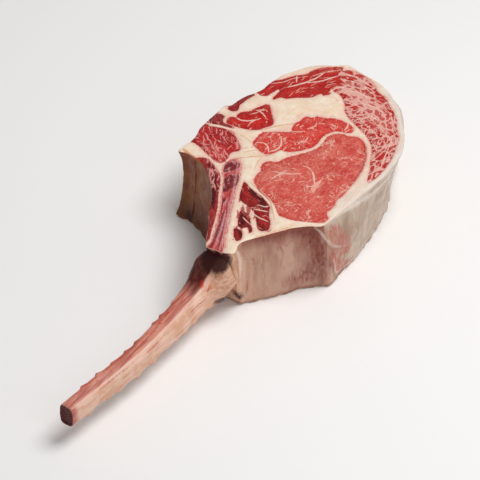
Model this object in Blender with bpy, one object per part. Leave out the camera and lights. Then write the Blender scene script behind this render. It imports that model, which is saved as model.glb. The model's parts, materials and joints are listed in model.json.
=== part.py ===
"""A raw tomahawk steak: a thick rib-eye slab cut through its muscles, on a long trimmed rib bone.

The slab lies on its lower cut face. It is first a straight block with the outline of the upper cut
face. Upright prisms with the outlines of the muscles divide it, and then one function of position
leans, hollows and crowns all the pieces together, so that neighbours keep their fit.
Outlines are in millimetres, seen from above, with +X from the bone's tip to the meat.
"""
import math

import bmesh
import bpy
import numpy as np
from mathutils import Vector

MM = 0.001

# Driving dimensions, in millimetres
THICKNESS = 60.0          # height of the slab between its two cut faces
SEAM_GAP = 0.3            # clearance between two pieces
OUTLINE_STEP = 5.0        # spacing of the points along the outer wall
MUSCLE_STEP = 4.5         # spacing of the points along a muscle's border
FACE_GRID = 9.0           # grid on the cut faces, which lets them crown
WALL_RINGS = (3.0, 14.0, 30.0, 46.0, 57.0)
SEAM_RINGS = (30.0,)
OVERSHOOT = 6.0           # how far a cutter passes the faces that it cuts
MITRE_LIMIT = 4.0         # longest corner of a grown outline, in clearances

FOOT_REACH = 16.0         # how far a lean of the wall carries into the meat
WAIST_REACH = 9.0         # the same for a hollow or bulge at mid height
EDGE_ROUND_TOP = 0.3      # how far the rims of the wall are rounded inwards
EDGE_ROUND_FOOT = 1.0
RIM_DROP = 0.4            # how far the upper face falls at its rim
RIM_WIDTH = 5.0
EYE_CROWN = 1.2           # how far the eye of the meat stands up
EYE_CENTRE = (66.0, -24.0)
EYE_RADIUS = 34.0

SLAB_OUTLINE = [
    (28.5, 71.5), (36, 71.5), (42, 70), (50, 70.5), (58, 72.5), (70, 72.5), (80, 72), (89.5, 71.5),
    (92, 68), (100, 66.5), (108, 64), (113, 61), (120, 58.5), (128, 58), (136, 56.5),
    (142, 55), (150, 50.5), (157, 46.5), (163, 42), (168, 36), (171, 30.5), (175, 25),
    (178, 20.5), (177.5, 14), (175.5, 5), (174, -3), (172.5, -12), (168.5, -21), (161.5, -31),
    (155, -39.5), (145.5, -46),
    (138, -53), (131, -58), (123, -62), (115, -65), (100, -67), (85, -67.5), (70, -66.5),
    (50, -64), (35, -61.5), (22, -59.8), (15, -57.5), (10, -50), (3, -42), (-5, -36), (-12, -31),
    (-20, -25.5), (-28, -20.5), (-33, -20), (-38, -22), (-42, -21.5), (-45, -15), (-46, -8),
    (-46.5, -2), (-42, 1), (-36, 5), (-24, 11), (-13, 18), (-2, 23), (8, 29.5), (15, 36),
    (21, 42), (26, 50), (28.5, 58), (29.5, 65),
]

# Borders of the muscles. One that runs outside the slab's outline is trimmed by it.
MUSCLES = {
    "eye_muscle": [
        (26, 3), (30, 7.5), (37, 9.5), (42, 9.5), (45, 11.5), (50, 12.5), (53.5, 10.5), (56, 5),
        (62, 2), (66, 0), (70, -3), (75, -6.5), (80, -9.5), (86, -11.5), (92, -11.5),
        (98, -10.5), (103, -12), (106.5, -15), (108, -19), (108.5, -23), (110.5, -27),
        (110.5, -32), (107.5, -37), (103, -41), (97, -45), (90, -48), (80, -51), (70, -52.5),
        (60, -53), (50, -53.5), (45, -52), (38, -54), (29, -53.5), (25, -57), (20, -57),
        (16, -52), (13, -45), (10, -38), (9, -30), (9, -26), (12.5, -22), (15.5, -18),
        (18.5, -12), (20.5, -6), (22.5, -1.5),
    ],
    "inner_lobe": [
        (59, 18), (62, 27), (65, 31), (72, 32), (78, 31.5), (82, 27), (85, 22), (88, 17),
        (91, 13.5), (93, 16), (100, 17), (105, 15.5), (110, 15), (112, 10), (115, 8),
        (116.5, 2), (119.5, -3), (120.5, -10), (120, -15), (118.5, -20), (114, -22.5),
        (111, -20.5), (109.8, -16), (108, -12), (103, -9), (97, -7.5), (92, -8), (88, -8.5),
        (83, -7.5), (79, -5), (75, -2), (71, 2.5), (69, 6.5), (68.5, 10), (63.5, 12), (60, 14.5),
    ],
    "cap_muscle": [
        (173.5, 14.5), (172.3, 0), (168.5, -8), (163, -14), (160.5, -22), (155, -28), (150, -35),
        (143, -42), (135, -47), (128, -53), (118, -57), (105, -61), (92, -63), (80, -63),
        (73, -61), (76, -58.5), (85, -55), (92, -51), (100, -47), (108, -42), (114.5, -35),
        (119, -27), (122, -20), (126, -12), (131, -6), (137, -2), (143, 4), (145.5, 9),
        (147, 14.7), (151.2, 13), (155, 9.4), (158.8, 9), (160.6, 13), (162.8, 18.6), (168, 19.3),
    ],
    "top_muscle": [
        (114, 59), (116, 64), (128, 64), (133, 56), (140, 50.5), (146, 46.5), (152, 41),
        (159.2, 38.4), (165.5, 34), (170.5, 27.6), (173, 21.8), (164.5, 20.5), (161, 18.5), (159, 13),
        (158, 10), (155.5, 10.5), (152, 14), (147, 16.5), (142, 14), (138, 17), (139, 19.5),
        (132, 23), (128, 28), (124.5, 33), (120, 38), (119, 42), (114, 45.5), (118, 46.5),
        (125, 46.5), (126, 48.5), (121, 50), (115.5, 51.5), (113.5, 55),
    ],
    "wedge_muscle": [
        (74, 60), (80, 61), (82.5, 57), (85, 57.5), (89, 57), (93, 53), (98, 51), (103, 48.5),
        (107, 45.5), (104, 41), (99, 37), (95, 33), (91, 30.5), (88, 30.5), (84, 33), (80, 35),
        (77, 39), (75, 44), (74, 50), (73, 55),
    ],
    "back_muscle": [
        (42, 66), (44, 78), (63, 78), (64.5, 69), (66, 62), (67.5, 55), (67.5, 50), (65, 46.5),
        (62, 43), (59.5, 39.5), (56, 36), (52, 35), (49.5, 37), (46, 38.5), (42, 37.5),
        (38, 37), (34, 38.5), (33.5, 42), (35, 47), (37, 52), (39, 57), (41, 62),
    ],
    "back_slip": [
        (66.5, 78), (67, 68), (69, 62), (70, 55.5), (71.5, 52), (72.3, 56), (72.5, 61),
        (75, 63.5), (79, 64.5), (79.5, 70), (79, 78),
    ],
    "chine_strip": [
        (32.5, 51), (31.5, 46), (28, 39.5), (24, 33.5), (21, 30.5), (13, 25.5), (4, 21),
        (-5, 15.5), (-12, 12), (-22, 7.5), (-32, 3.5), (-40, 0.5), (-52, 3), (-40, 12),
        (-20, 24), (0, 33), (12, 44), (20, 56), (27, 58),
    ],
    "edge_strip": [
        (86.6, 64.2), (87.3, 67), (90, 68.3), (94, 72), (114, 68), (112, 60.2), (108, 60.4),
        (102, 61.6), (96, 62.4), (93, 61.2), (90, 60.4), (87.6, 61.6),
    ],
    "finger_meat_long": [
        (25.2, 13.2), (18, 10.5), (12, 8), (8, 5), (6, -2), (4, -8), (0, -12.5), (-4, -16),
        (-9, -20), (-11.5, -23.5), (-10.5, -26.5), (-8, -28.5), (-3, -27), (1, -24.5),
        (5, -21), (9, -18.5), (13, -16.5), (16, -12), (19, -6), (21, 1), (23.5, 7),
        (25.5, 11.3),
    ],
    "finger_meat_middle": [
        (-1, -1.5), (-8, -4), (-15, -8), (-16.5, -11.5), (-13.5, -15), (-17.5, -19),
        (-14.5, -19.5), (-9, -14.5), (-4, -11), (-1.5, -7),
    ],
    "finger_meat_short": [
        (-19.5, -8), (-25, -11), (-29.5, -16), (-26, -17.8), (-21, -15.5), (-18.5, -12),
    ],
}

# The split rib inside the slab, from its head to the neck
BONE_OUTLINE = [
    (44, 31), (41, 34.5), (34, 35.5), (27, 32.5), (22, 28.5), (14, 24), (5, 19), (-4, 13.8),
    (-12, 10), (-22, 5.5), (-32, 1.5), (-40, -1.5), (-54, -3), (-54, -16), (-42, -14),
    (-30, -7.5), (-15, -0.5), (0, 6.5), (15, 13), (26, 17.5), (34, 21.5), (41, 26),
]

# The neck is undercut by a plane that leans from here at the upper face to here at the foot
NECK_TOP_X = -48.0
NECK_FOOT_X = -29.0

# How far the foot of the wall lies from the rim above it: x, y, shift x, shift y
FOOT_SHIFTS = [
    (28.5, 71.5, -2.5, 1.5), (29.5, 62, -8.5, 0), (27.5, 54, -9, 1), (22, 43.5, -8, 3),
    (8, 29.5, 0, 1), (-13, 18, 0, 1), (-36, 5, 0, 0), (-46, -8, 0, 0), (-41, -22, 1, 0.5),
    (-28, -20.5, 0, -2), (-12, -31, -1, -7.5), (-2, -38, 0, -5), (8, -48, 5, -2),
    (16, -57, 8, -8), (35, -61.5, -1.5, 0), (50, -64, 0, 1), (75, -66.7, 0, 3.7),
    (88, -67.5, 0, 8), (107, -66, -2, 11), (124, -62, -5, 11), (138, -53, -6, 6),
    (158, -35, -2, 1), (172, -11, -6, 0), (177, 14, -5, -1), (163, 42, -3, -3),
    (130, 57, 0, -3), (90, 71, 0, -2), (60, 72, 0, -1), (40, 40, 0, 0), (10, 5, 0, 0),
    (40, -20, 0, 0), (75, 25, 0, 0), (75, -20, 0, 0), (110, 10, 0, 0), (110, -20, 0, 0),
    (140, 15, 0, 0), (100, 45, 0, 0), (50, 5, 0, 0), (-10, -5, 0, 0),
]

# Hollow (inwards) or belly (outwards) of the wall at mid height
WAIST_SHIFTS = [
    (28.5, 71.5, 4, -6), (29.5, 62, 3, -1), (22, 43.5, 1.5, -1), (0, 24, 0.5, -0.5),
    (-20, -26, 0, -0.5), (-8, -34, -0.5, -1.5), (16, -57, 1, -1.5), (45, -63, 0, -1),
    (90, -67.5, 0, 1.5), (112, -65, -1, 3), (130, -58, -2, 3), (146, -46, 2, -1),
    (158, -36, 4.5, -3.5), (173, -5, 2, 0), (170, 32, 1.5, 1), (140, 55, 0.5, 2),
    (100, 66, 0, 1.5), (60, 72, 0, 2), (40, 70, 1, -3),
    (30, 45, 0, 0), (40, 55, 0, 0), (15, -40, 0, 0), (60, -48, 0, 0), (110, -45, 0, 0),
    (145, -15, 0, 0), (150, 20, 0, 0), (120, 45, 0, 0), (75, 55, 0, 0), (0, -20, 0, 0),
]

# Trimmed rib: x, y and z of the middle of a section, its width across and its height
RIB_STATIONS = [
    (-30, -5.5, 32, 11, 36), (-40, -7.5, 33.5, 15, 43), (-45, -6.5, 33.5, 21, 43),
    (-49, -4.8, 30.5, 22, 38), (-53, -3.6, 27.5, 21, 31), (-60, -3.6, 25.5, 18.5, 26),
    (-72, -4.2, 25.2, 16.5, 24), (-88, -5, 25.2, 14.2, 23.5), (-110, -4.8, 25.2, 13, 23),
    (-135, -4.2, 25.2, 12.4, 22.5), (-160, -1.4, 25.2, 11.8, 21.5), (-185, 2.2, 25.2, 11.4, 20.5),
    (-206, 5, 25.2, 11.4, 20.5),
]
RIB_SIDES = 20            # points round a section of the rib
RIB_STEP = 7.0            # spacing of the sections
RIB_SQUARENESS = 2.8      # 2 is an ellipse, more is squarer
RIB_TILT_ROOT = 10.0      # lean of the section at the root, in degrees, none at the tip
RIB_UNEVEN = 0.035        # scraped unevenness, as a share of the section's size
RIB_END_ROUND = 0.93      # size of the very last section, which breaks the sawn edge

COLOURS = {
    "rib_bone": (0.74, 0.45, 0.36), "fat_body": (0.84, 0.70, 0.56),
    "eye_muscle": (0.60, 0.12, 0.10), "inner_lobe": (0.60, 0.11, 0.10),
    "cap_muscle": (0.56, 0.17, 0.16), "top_muscle": (0.46, 0.06, 0.05),
    "wedge_muscle": (0.46, 0.05, 0.05), "back_muscle": (0.46, 0.07, 0.07),
    "back_slip": (0.36, 0.04, 0.04), "chine_strip": (0.36, 0.05, 0.05),
    "edge_strip": (0.34, 0.03, 0.03), "finger_meat_long": (0.34, 0.04, 0.04),
    "finger_meat_middle": (0.36, 0.05, 0.05), "finger_meat_short": (0.36, 0.05, 0.05),
}
MEAT_ROUGHNESS = 0.38
BONE_ROUGHNESS = 0.5


def clear_scene():
    for item in list(bpy.data.objects):
        bpy.data.objects.remove(item, do_unlink=True)


def new_collection(name):
    collection = bpy.data.collections.new(name)
    bpy.context.scene.collection.children.link(collection)
    return collection


def smooth_loop(corners, step):
    """Points about one step apart on a smooth closed curve through the corners."""
    points = np.array(corners, float)
    count = len(points)
    result = []
    for index in range(count):
        before, start = points[index - 1], points[index]
        end, after = points[(index + 1) % count], points[(index + 2) % count]
        spans = [math.sqrt(np.linalg.norm(b - a)) for a, b in ((before, start), (start, end), (end, after))]
        start_slope = (end - before) * spans[1] / (spans[0] + spans[1])
        end_slope = (after - start) * spans[1] / (spans[1] + spans[2])
        pieces = max(1, round(np.linalg.norm(end - start) / step))
        for piece in range(pieces):
            t = piece / pieces
            result.append((2 * t**3 - 3 * t**2 + 1) * start + (t**3 - 2 * t**2 + t) * start_slope
                          + (3 * t**2 - 2 * t**3) * end + (t**3 - t**2) * end_slope)
    return np.array(result)


def outward_normals(loop):
    """Unit vectors that point out of a closed loop, whichever way it runs."""
    tangents = np.roll(loop, -1, axis=0) - np.roll(loop, 1, axis=0)
    tangents /= np.linalg.norm(tangents, axis=1)[:, None]
    following = np.roll(loop, -1, axis=0)
    area = np.sum(loop[:, 0] * following[:, 1] - following[:, 0] * loop[:, 1])
    return np.stack([tangents[:, 1], -tangents[:, 0]], axis=1) * math.copysign(1.0, area)


def grown_loop(loop, distance):
    """The loop moved out by a distance, with its corners mitred up to a limit."""
    normals = outward_normals(loop)
    edges = np.roll(loop, -1, axis=0) - loop
    edges /= np.linalg.norm(edges, axis=1)[:, None]
    sines = np.abs((normals * edges).sum(axis=1))
    reach = np.minimum(1 / np.sqrt(np.maximum(1 - sines**2, 0.01)), MITRE_LIMIT)
    return loop + normals * (distance * reach)[:, None]


def cut_rings(mesh_object, heights):
    """Cut level rings into an object, at these heights in millimetres."""
    bm = bmesh.new()
    bm.from_mesh(mesh_object.data)
    for height in heights:
        geometry = list(bm.verts) + list(bm.edges) + list(bm.faces)
        bmesh.ops.bisect_plane(bm, geom=geometry, plane_co=(0, 0, height * MM), plane_no=(0, 0, 1))
    bm.to_mesh(mesh_object.data)
    bm.free()


def prism(name, loop, rings, collection):
    """An upright prism through the slab, from a filled outline extruded both ways."""
    curve = bpy.data.curves.new(name, "CURVE")
    curve.dimensions = "2D"
    curve.fill_mode = "BOTH"
    curve.extrude = (THICKNESS / 2 + OVERSHOOT) * MM
    spline = curve.splines.new("POLY")
    spline.points.add(len(loop) - 1)
    for point, (x, y) in zip(spline.points, loop):
        point.co = (x * MM, y * MM, 0, 1)
    spline.use_cyclic_u = True
    outline = bpy.data.objects.new(name + "_curve", curve)
    outline.location = (0, 0, THICKNESS / 2 * MM)
    collection.objects.link(outline)
    bpy.context.view_layer.update()
    evaluated = outline.evaluated_get(bpy.context.evaluated_depsgraph_get())
    solid = bpy.data.objects.new(name, bpy.data.meshes.new_from_object(evaluated))
    solid.matrix_world = outline.matrix_world
    bpy.data.objects.remove(outline, do_unlink=True)
    collection.objects.link(solid)
    solid.data.transform(solid.matrix_world)
    solid.matrix_world.identity()
    bm = bmesh.new()
    bm.from_mesh(solid.data)
    bmesh.ops.remove_doubles(bm, verts=bm.verts, dist=0.01 * MM)
    bmesh.ops.recalc_face_normals(bm, faces=bm.faces)
    bm.to_mesh(solid.data)
    bm.free()
    cut_rings(solid, rings)
    as_helper(solid)
    return solid


def as_helper(item):
    item.hide_render = True
    item.display_type = "WIRE"


def stock_block(collection):
    """A plain block round the slab, with a grid on its faces."""
    outline = np.array(SLAB_OUTLINE)
    low = outline.min(axis=0) - OVERSHOOT
    high = outline.max(axis=0) + OVERSHOOT
    mesh = bpy.data.meshes.new("stock_block")
    bm = bmesh.new()
    bmesh.ops.create_cube(bm, size=1.0)
    bmesh.ops.scale(bm, verts=bm.verts, vec=(*((high - low) * MM), THICKNESS * MM))
    centre = (low + high) / 2 * MM
    bmesh.ops.translate(bm, verts=bm.verts, vec=(*centre, THICKNESS / 2 * MM))
    for axis, direction in ((0, (1, 0, 0)), (1, (0, 1, 0))):
        for place in np.arange(low[axis] + FACE_GRID, high[axis], FACE_GRID):
            geometry = list(bm.verts) + list(bm.edges) + list(bm.faces)
            bmesh.ops.bisect_plane(bm, geom=geometry, plane_no=direction,
                                   plane_co=Vector(direction) * place * MM)
    bm.to_mesh(mesh)
    bm.free()
    block = bpy.data.objects.new("stock_block", mesh)
    collection.objects.link(block)
    as_helper(block)
    return block


def neck_block(collection):
    """A block whose one side is the leaning plane under the neck."""
    run = NECK_FOOT_X - NECK_TOP_X
    inwards = Vector((THICKNESS, 0, run)).normalized()
    size = 2 * THICKNESS
    mesh = bpy.data.meshes.new("neck_block")
    bm = bmesh.new()
    bmesh.ops.create_cube(bm, size=size * MM)
    bm.to_mesh(mesh)
    bm.free()
    block = bpy.data.objects.new("neck_block", mesh)
    block.rotation_euler = (0, -math.atan2(run, THICKNESS), 0)
    middle = Vector(((NECK_TOP_X + NECK_FOOT_X) / 2, 0, THICKNESS / 2))
    block.location = (middle - inwards * size / 2) * MM
    collection.objects.link(block)
    as_helper(block)
    return block


def combined(name, body, operation, tool, collection):
    """A new object: the body joined with, cut by or kept inside one tool or a collection of them."""
    result = bpy.data.objects.new(name, body.data.copy())
    collection.objects.link(result)
    boolean = result.modifiers.new(operation.lower(), "BOOLEAN")
    boolean.operation = operation
    boolean.solver = "EXACT"
    if isinstance(tool, bpy.types.Collection):
        boolean.operand_type = "COLLECTION"
        boolean.collection = tool
    else:
        boolean.object = tool
    bpy.context.view_layer.update()
    evaluated = result.evaluated_get(bpy.context.evaluated_depsgraph_get())
    mesh = bpy.data.meshes.new_from_object(evaluated)
    result.modifiers.clear()
    result.data = mesh
    mesh.name = name
    return result


def tidy_mesh(item):
    """Weld slivers that a cut leaves, then split every face into triangles."""
    bm = bmesh.new()
    bm.from_mesh(item.data)
    bmesh.ops.remove_doubles(bm, verts=bm.verts, dist=0.02 * MM)
    bmesh.ops.dissolve_degenerate(bm, edges=bm.edges, dist=0.02 * MM)
    bmesh.ops.triangulate(bm, faces=bm.faces)
    bm.to_mesh(item.data)
    bm.free()


def blended_shift(table, places, reach):
    """The shifts of a table at many places, each station weighing by its nearness."""
    stations = np.array(table, float)
    squares = ((places[:, None, :] - stations[None, :, :2]) ** 2).sum(axis=2)
    weights = np.exp(-(squares - squares.min(axis=1)[:, None]) / (2 * reach**2))
    return weights @ stations[:, 2:] / weights.sum(axis=1)[:, None]


def nearest_on_outline(places, loop):
    """Distance to the slab's outline, and the outward direction there."""
    following = np.roll(loop, -1, axis=0)
    edges = following - loop
    lengths = (edges**2).sum(axis=1)
    offsets = places[:, None, :] - loop[None, :, :]
    along = np.clip((offsets * edges).sum(axis=2) / lengths, 0, 1)
    gaps = np.linalg.norm(offsets - along[:, :, None] * edges, axis=2)
    index = gaps.argmin(axis=1)
    return gaps[np.arange(len(places)), index], outward_normals(loop)[index]


def shaped(places, heights, outline):
    """Where points of the straight block lie in the real slab, in millimetres."""
    rise = heights / THICKNESS
    moved = places.copy()
    moved += blended_shift(FOOT_SHIFTS, places, FOOT_REACH) * (1 - rise)[:, None]
    moved += blended_shift(WAIST_SHIFTS, places, WAIST_REACH) * (4 * rise * (1 - rise))[:, None]
    distance, outward = nearest_on_outline(places, outline)
    rim = EDGE_ROUND_TOP * (rise > 0.999) + EDGE_ROUND_FOOT * (rise < 0.001)
    moved -= outward * (rim * np.exp(-(distance / 2) ** 2))[:, None]
    eye = ((places - EYE_CENTRE) ** 2).sum(axis=1) / (2 * EYE_RADIUS**2)
    crown = EYE_CROWN * np.exp(-eye) - RIM_DROP * np.exp(-(distance / RIM_WIDTH) ** 2)
    return moved, heights + crown * rise**2


def shape_piece(item, outline):
    points = np.empty(len(item.data.vertices) * 3)
    item.data.vertices.foreach_get("co", points)
    points = points.reshape(-1, 3) / MM
    places, heights = shaped(points[:, :2], points[:, 2], outline)
    points = np.column_stack([places, heights]) * MM
    item.data.vertices.foreach_set("co", points.ravel())
    item.data.update()


def rib_sections(growth):
    """The rib's sections along its length, each a ring of points in millimetres."""
    stations = np.array(RIB_STATIONS, float)
    runs = stations[:, 0]
    length = abs(runs[-1] - runs[0])
    places = np.linspace(runs[0], runs[-1], round(length / RIB_STEP) + 1)
    places = np.append(places, places[-1] - 1.2)
    spans = [np.interp(-places, -runs, stations[:, column]) for column in (1, 2, 3, 4)]
    rings = []
    for index, (x, y, z, width, height) in enumerate(zip(places, *spans)):
        share = (x - runs[0]) / (runs[-1] - runs[0])
        tilt = math.radians(RIB_TILT_ROOT * max(0.0, 1 - share))
        end = RIB_END_ROUND if index == len(places) - 1 else 1.0
        ring = []
        for side in range(RIB_SIDES):
            angle = 2 * math.pi * side / RIB_SIDES
            uneven = 1 + RIB_UNEVEN * (math.sin(3 * angle + x / 9) + math.sin(2 * angle - x / 14)) / 2
            cosine, sine = math.cos(angle), math.sin(angle)
            power = 2 / RIB_SQUARENESS
            across = math.copysign(abs(cosine) ** power, cosine) * (width / 2 * end * uneven + growth)
            up = math.copysign(abs(sine) ** power, sine) * (height / 2 * end * uneven + growth)
            ring.append((x, y + across * math.cos(tilt) + up * math.sin(tilt),
                         z - across * math.sin(tilt) + up * math.cos(tilt)))
        rings.append(ring)
    return rings


def rib_loft(name, growth, collection):
    """The trimmed rib as a loft through its sections, grown all round by a clearance."""
    bm = bmesh.new()
    rings = [[bm.verts.new(Vector(point) * MM) for point in ring] for ring in rib_sections(growth)]
    for ring, following in zip(rings, rings[1:]):
        for side in range(RIB_SIDES):
            corners = (ring[side], ring[(side + 1) % RIB_SIDES],
                       following[(side + 1) % RIB_SIDES], following[side])
            bm.faces.new(corners)
    bm.faces.new(rings[0])
    bm.faces.new(rings[-1])
    bmesh.ops.recalc_face_normals(bm, faces=bm.faces)
    bmesh.ops.triangulate(bm, faces=bm.faces)
    mesh = bpy.data.meshes.new(name)
    bm.to_mesh(mesh)
    bm.free()
    loft = bpy.data.objects.new(name, mesh)
    collection.objects.link(loft)
    as_helper(loft)
    return loft


def add_material(item, name, colour, roughness):
    material = bpy.data.materials.new(name)
    material.use_nodes = True
    shader = material.node_tree.nodes["Principled BSDF"]
    shader.inputs["Base Color"].default_value = (*colour, 1)
    shader.inputs["Roughness"].default_value = roughness
    shader.inputs["Metallic"].default_value = 0
    item.data.materials.clear()
    item.data.materials.append(material)


def stand_at_origin(items):
    """Move all pieces so that the middle of the foot of their common box is the origin."""
    corners = np.array([vertex.co for item in items for vertex in item.data.vertices])
    low, high = corners.min(axis=0), corners.max(axis=0)
    middle = Vector(((low[0] + high[0]) / 2, (low[1] + high[1]) / 2, low[2]))
    for item in items:
        for vertex in item.data.vertices:
            vertex.co -= middle
    print("origin moved by", tuple(round(value / MM, 3) for value in middle), "mm")


def main():
    clear_scene()
    steak = new_collection("tomahawk_steak")
    helpers = new_collection("cutters")
    outline = smooth_loop(SLAB_OUTLINE, OUTLINE_STEP)
    wall = prism("wall_cutter", outline, WALL_RINGS, helpers)
    upright = combined("upright_slab", stock_block(helpers), "INTERSECT", wall, helpers)
    slab = combined("slab", upright, "DIFFERENCE", neck_block(helpers), helpers)
    as_helper(upright)
    as_helper(slab)

    borders = {name: smooth_loop(points, MUSCLE_STEP) for name, points in MUSCLES.items()}
    borders["rib_bone"] = smooth_loop(BONE_OUTLINE, MUSCLE_STEP)
    pieces = {}
    clearances = new_collection("clearances")
    for name, border in borders.items():
        cutter = prism(name + "_cutter", border, SEAM_RINGS, helpers)
        pieces[name] = combined(name, slab, "INTERSECT", cutter, steak)
        prism(name + "_clearance", grown_loop(border, SEAM_GAP), SEAM_RINGS, clearances)
    pieces["fat_body"] = combined("fat_body", slab, "DIFFERENCE", clearances, steak)
    for piece in pieces.values():
        tidy_mesh(piece)
        shape_piece(piece, outline)

    rib = rib_loft("rib_loft", 0.0, helpers)
    clearance = rib_loft("rib_clearance", SEAM_GAP, helpers)
    for name in ("fat_body", "chine_strip"):
        whole = pieces[name]
        pieces[name] = combined(name + "_cut", whole, "DIFFERENCE", clearance, steak)
        bpy.data.objects.remove(whole, do_unlink=True)
        pieces[name].name = name
    root = pieces["rib_bone"]
    pieces["rib_bone"] = combined("rib_bone_whole", root, "UNION", rib, steak)
    bpy.data.objects.remove(root, do_unlink=True)
    pieces["rib_bone"].name = "rib_bone"

    for name, piece in pieces.items():
        tidy_mesh(piece)
        roughness = BONE_ROUGHNESS if name == "rib_bone" else MEAT_ROUGHNESS
        add_material(piece, name, COLOURS[name], roughness)
    stand_at_origin(list(pieces.values()))


main()
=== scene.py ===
# %% [markdown]
# # A raw tomahawk steak
#
# The steak is a thick slice through a rib roast: several muscles held together by fat, with one
# long rib bone left on and scraped clean. The solids of the CAD model fix its size and place.
# This lesson rebuilds each solid as a fine mesh on the same outlines, and then paints marbling,
# membranes, wet fat and bone on it with shader nodes.

import json
import math

import bmesh
import bpy
import numpy as np
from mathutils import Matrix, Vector, geometry, kdtree, noise

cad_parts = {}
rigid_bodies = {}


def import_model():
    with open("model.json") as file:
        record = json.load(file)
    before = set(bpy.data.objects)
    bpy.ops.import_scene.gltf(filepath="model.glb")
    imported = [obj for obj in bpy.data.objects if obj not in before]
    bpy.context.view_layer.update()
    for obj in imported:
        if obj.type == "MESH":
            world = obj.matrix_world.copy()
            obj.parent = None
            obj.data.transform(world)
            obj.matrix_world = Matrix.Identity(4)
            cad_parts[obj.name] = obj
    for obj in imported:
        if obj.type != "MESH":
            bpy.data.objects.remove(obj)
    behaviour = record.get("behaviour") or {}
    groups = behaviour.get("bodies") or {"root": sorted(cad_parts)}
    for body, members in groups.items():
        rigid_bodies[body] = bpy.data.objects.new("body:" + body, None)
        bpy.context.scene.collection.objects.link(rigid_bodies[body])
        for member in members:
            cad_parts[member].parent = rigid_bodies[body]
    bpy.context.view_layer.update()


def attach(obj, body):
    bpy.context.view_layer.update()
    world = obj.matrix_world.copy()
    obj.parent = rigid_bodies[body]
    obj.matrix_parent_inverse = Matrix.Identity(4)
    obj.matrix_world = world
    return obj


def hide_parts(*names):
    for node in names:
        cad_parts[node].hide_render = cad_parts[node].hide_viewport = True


for item in list(bpy.data.objects):
    bpy.data.objects.remove(item, do_unlink=True)
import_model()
MM = 0.001

# %% [markdown]
# ## The plan of the cut face
#
# A butcher sees the steak as a drawing: an outer wall and the borders between muscles. The drawing
# is kept as short lists of corners in millimetres, +X from the bone's tip to the meat, and a
# smooth curve runs through each list. Tracing curves this way keeps every muscle editable, which a
# sculpted lump wouldn't be.

# %% The outlines of the slab, its muscles and the split rib
SLAB_OUTLINE = [
    (28.5, 71.5), (36, 71.5), (42, 70), (50, 70.5), (58, 72.5), (70, 72.5), (80, 72),
    (89.5, 71.5), (92, 68), (100, 66.5), (108, 64), (113, 61), (120, 58.5), (128, 58),
    (136, 56.5), (142, 55), (150, 50.5), (157, 46.5), (163, 42), (168, 36), (171, 30.5),
    (175, 25), (178, 20.5), (177.5, 14), (175.5, 5), (174, -3), (172.5, -12), (168.5, -21),
    (161.5, -31), (155, -39.5), (145.5, -46), (138, -53), (131, -58), (123, -62), (115, -65),
    (100, -67), (85, -67.5), (70, -66.5), (50, -64), (35, -61.5), (22, -59.8), (15, -57.5),
    (10, -50), (3, -42), (-5, -36), (-12, -31), (-20, -25.5), (-28, -20.5), (-33, -20),
    (-38, -22), (-42, -21.5), (-45, -15), (-46, -8), (-46.5, -2), (-42, 1), (-36, 5), (-24, 11),
    (-13, 18), (-2, 23), (8, 29.5), (15, 36), (21, 42), (26, 50), (28.5, 58), (29.5, 65),
]

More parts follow.
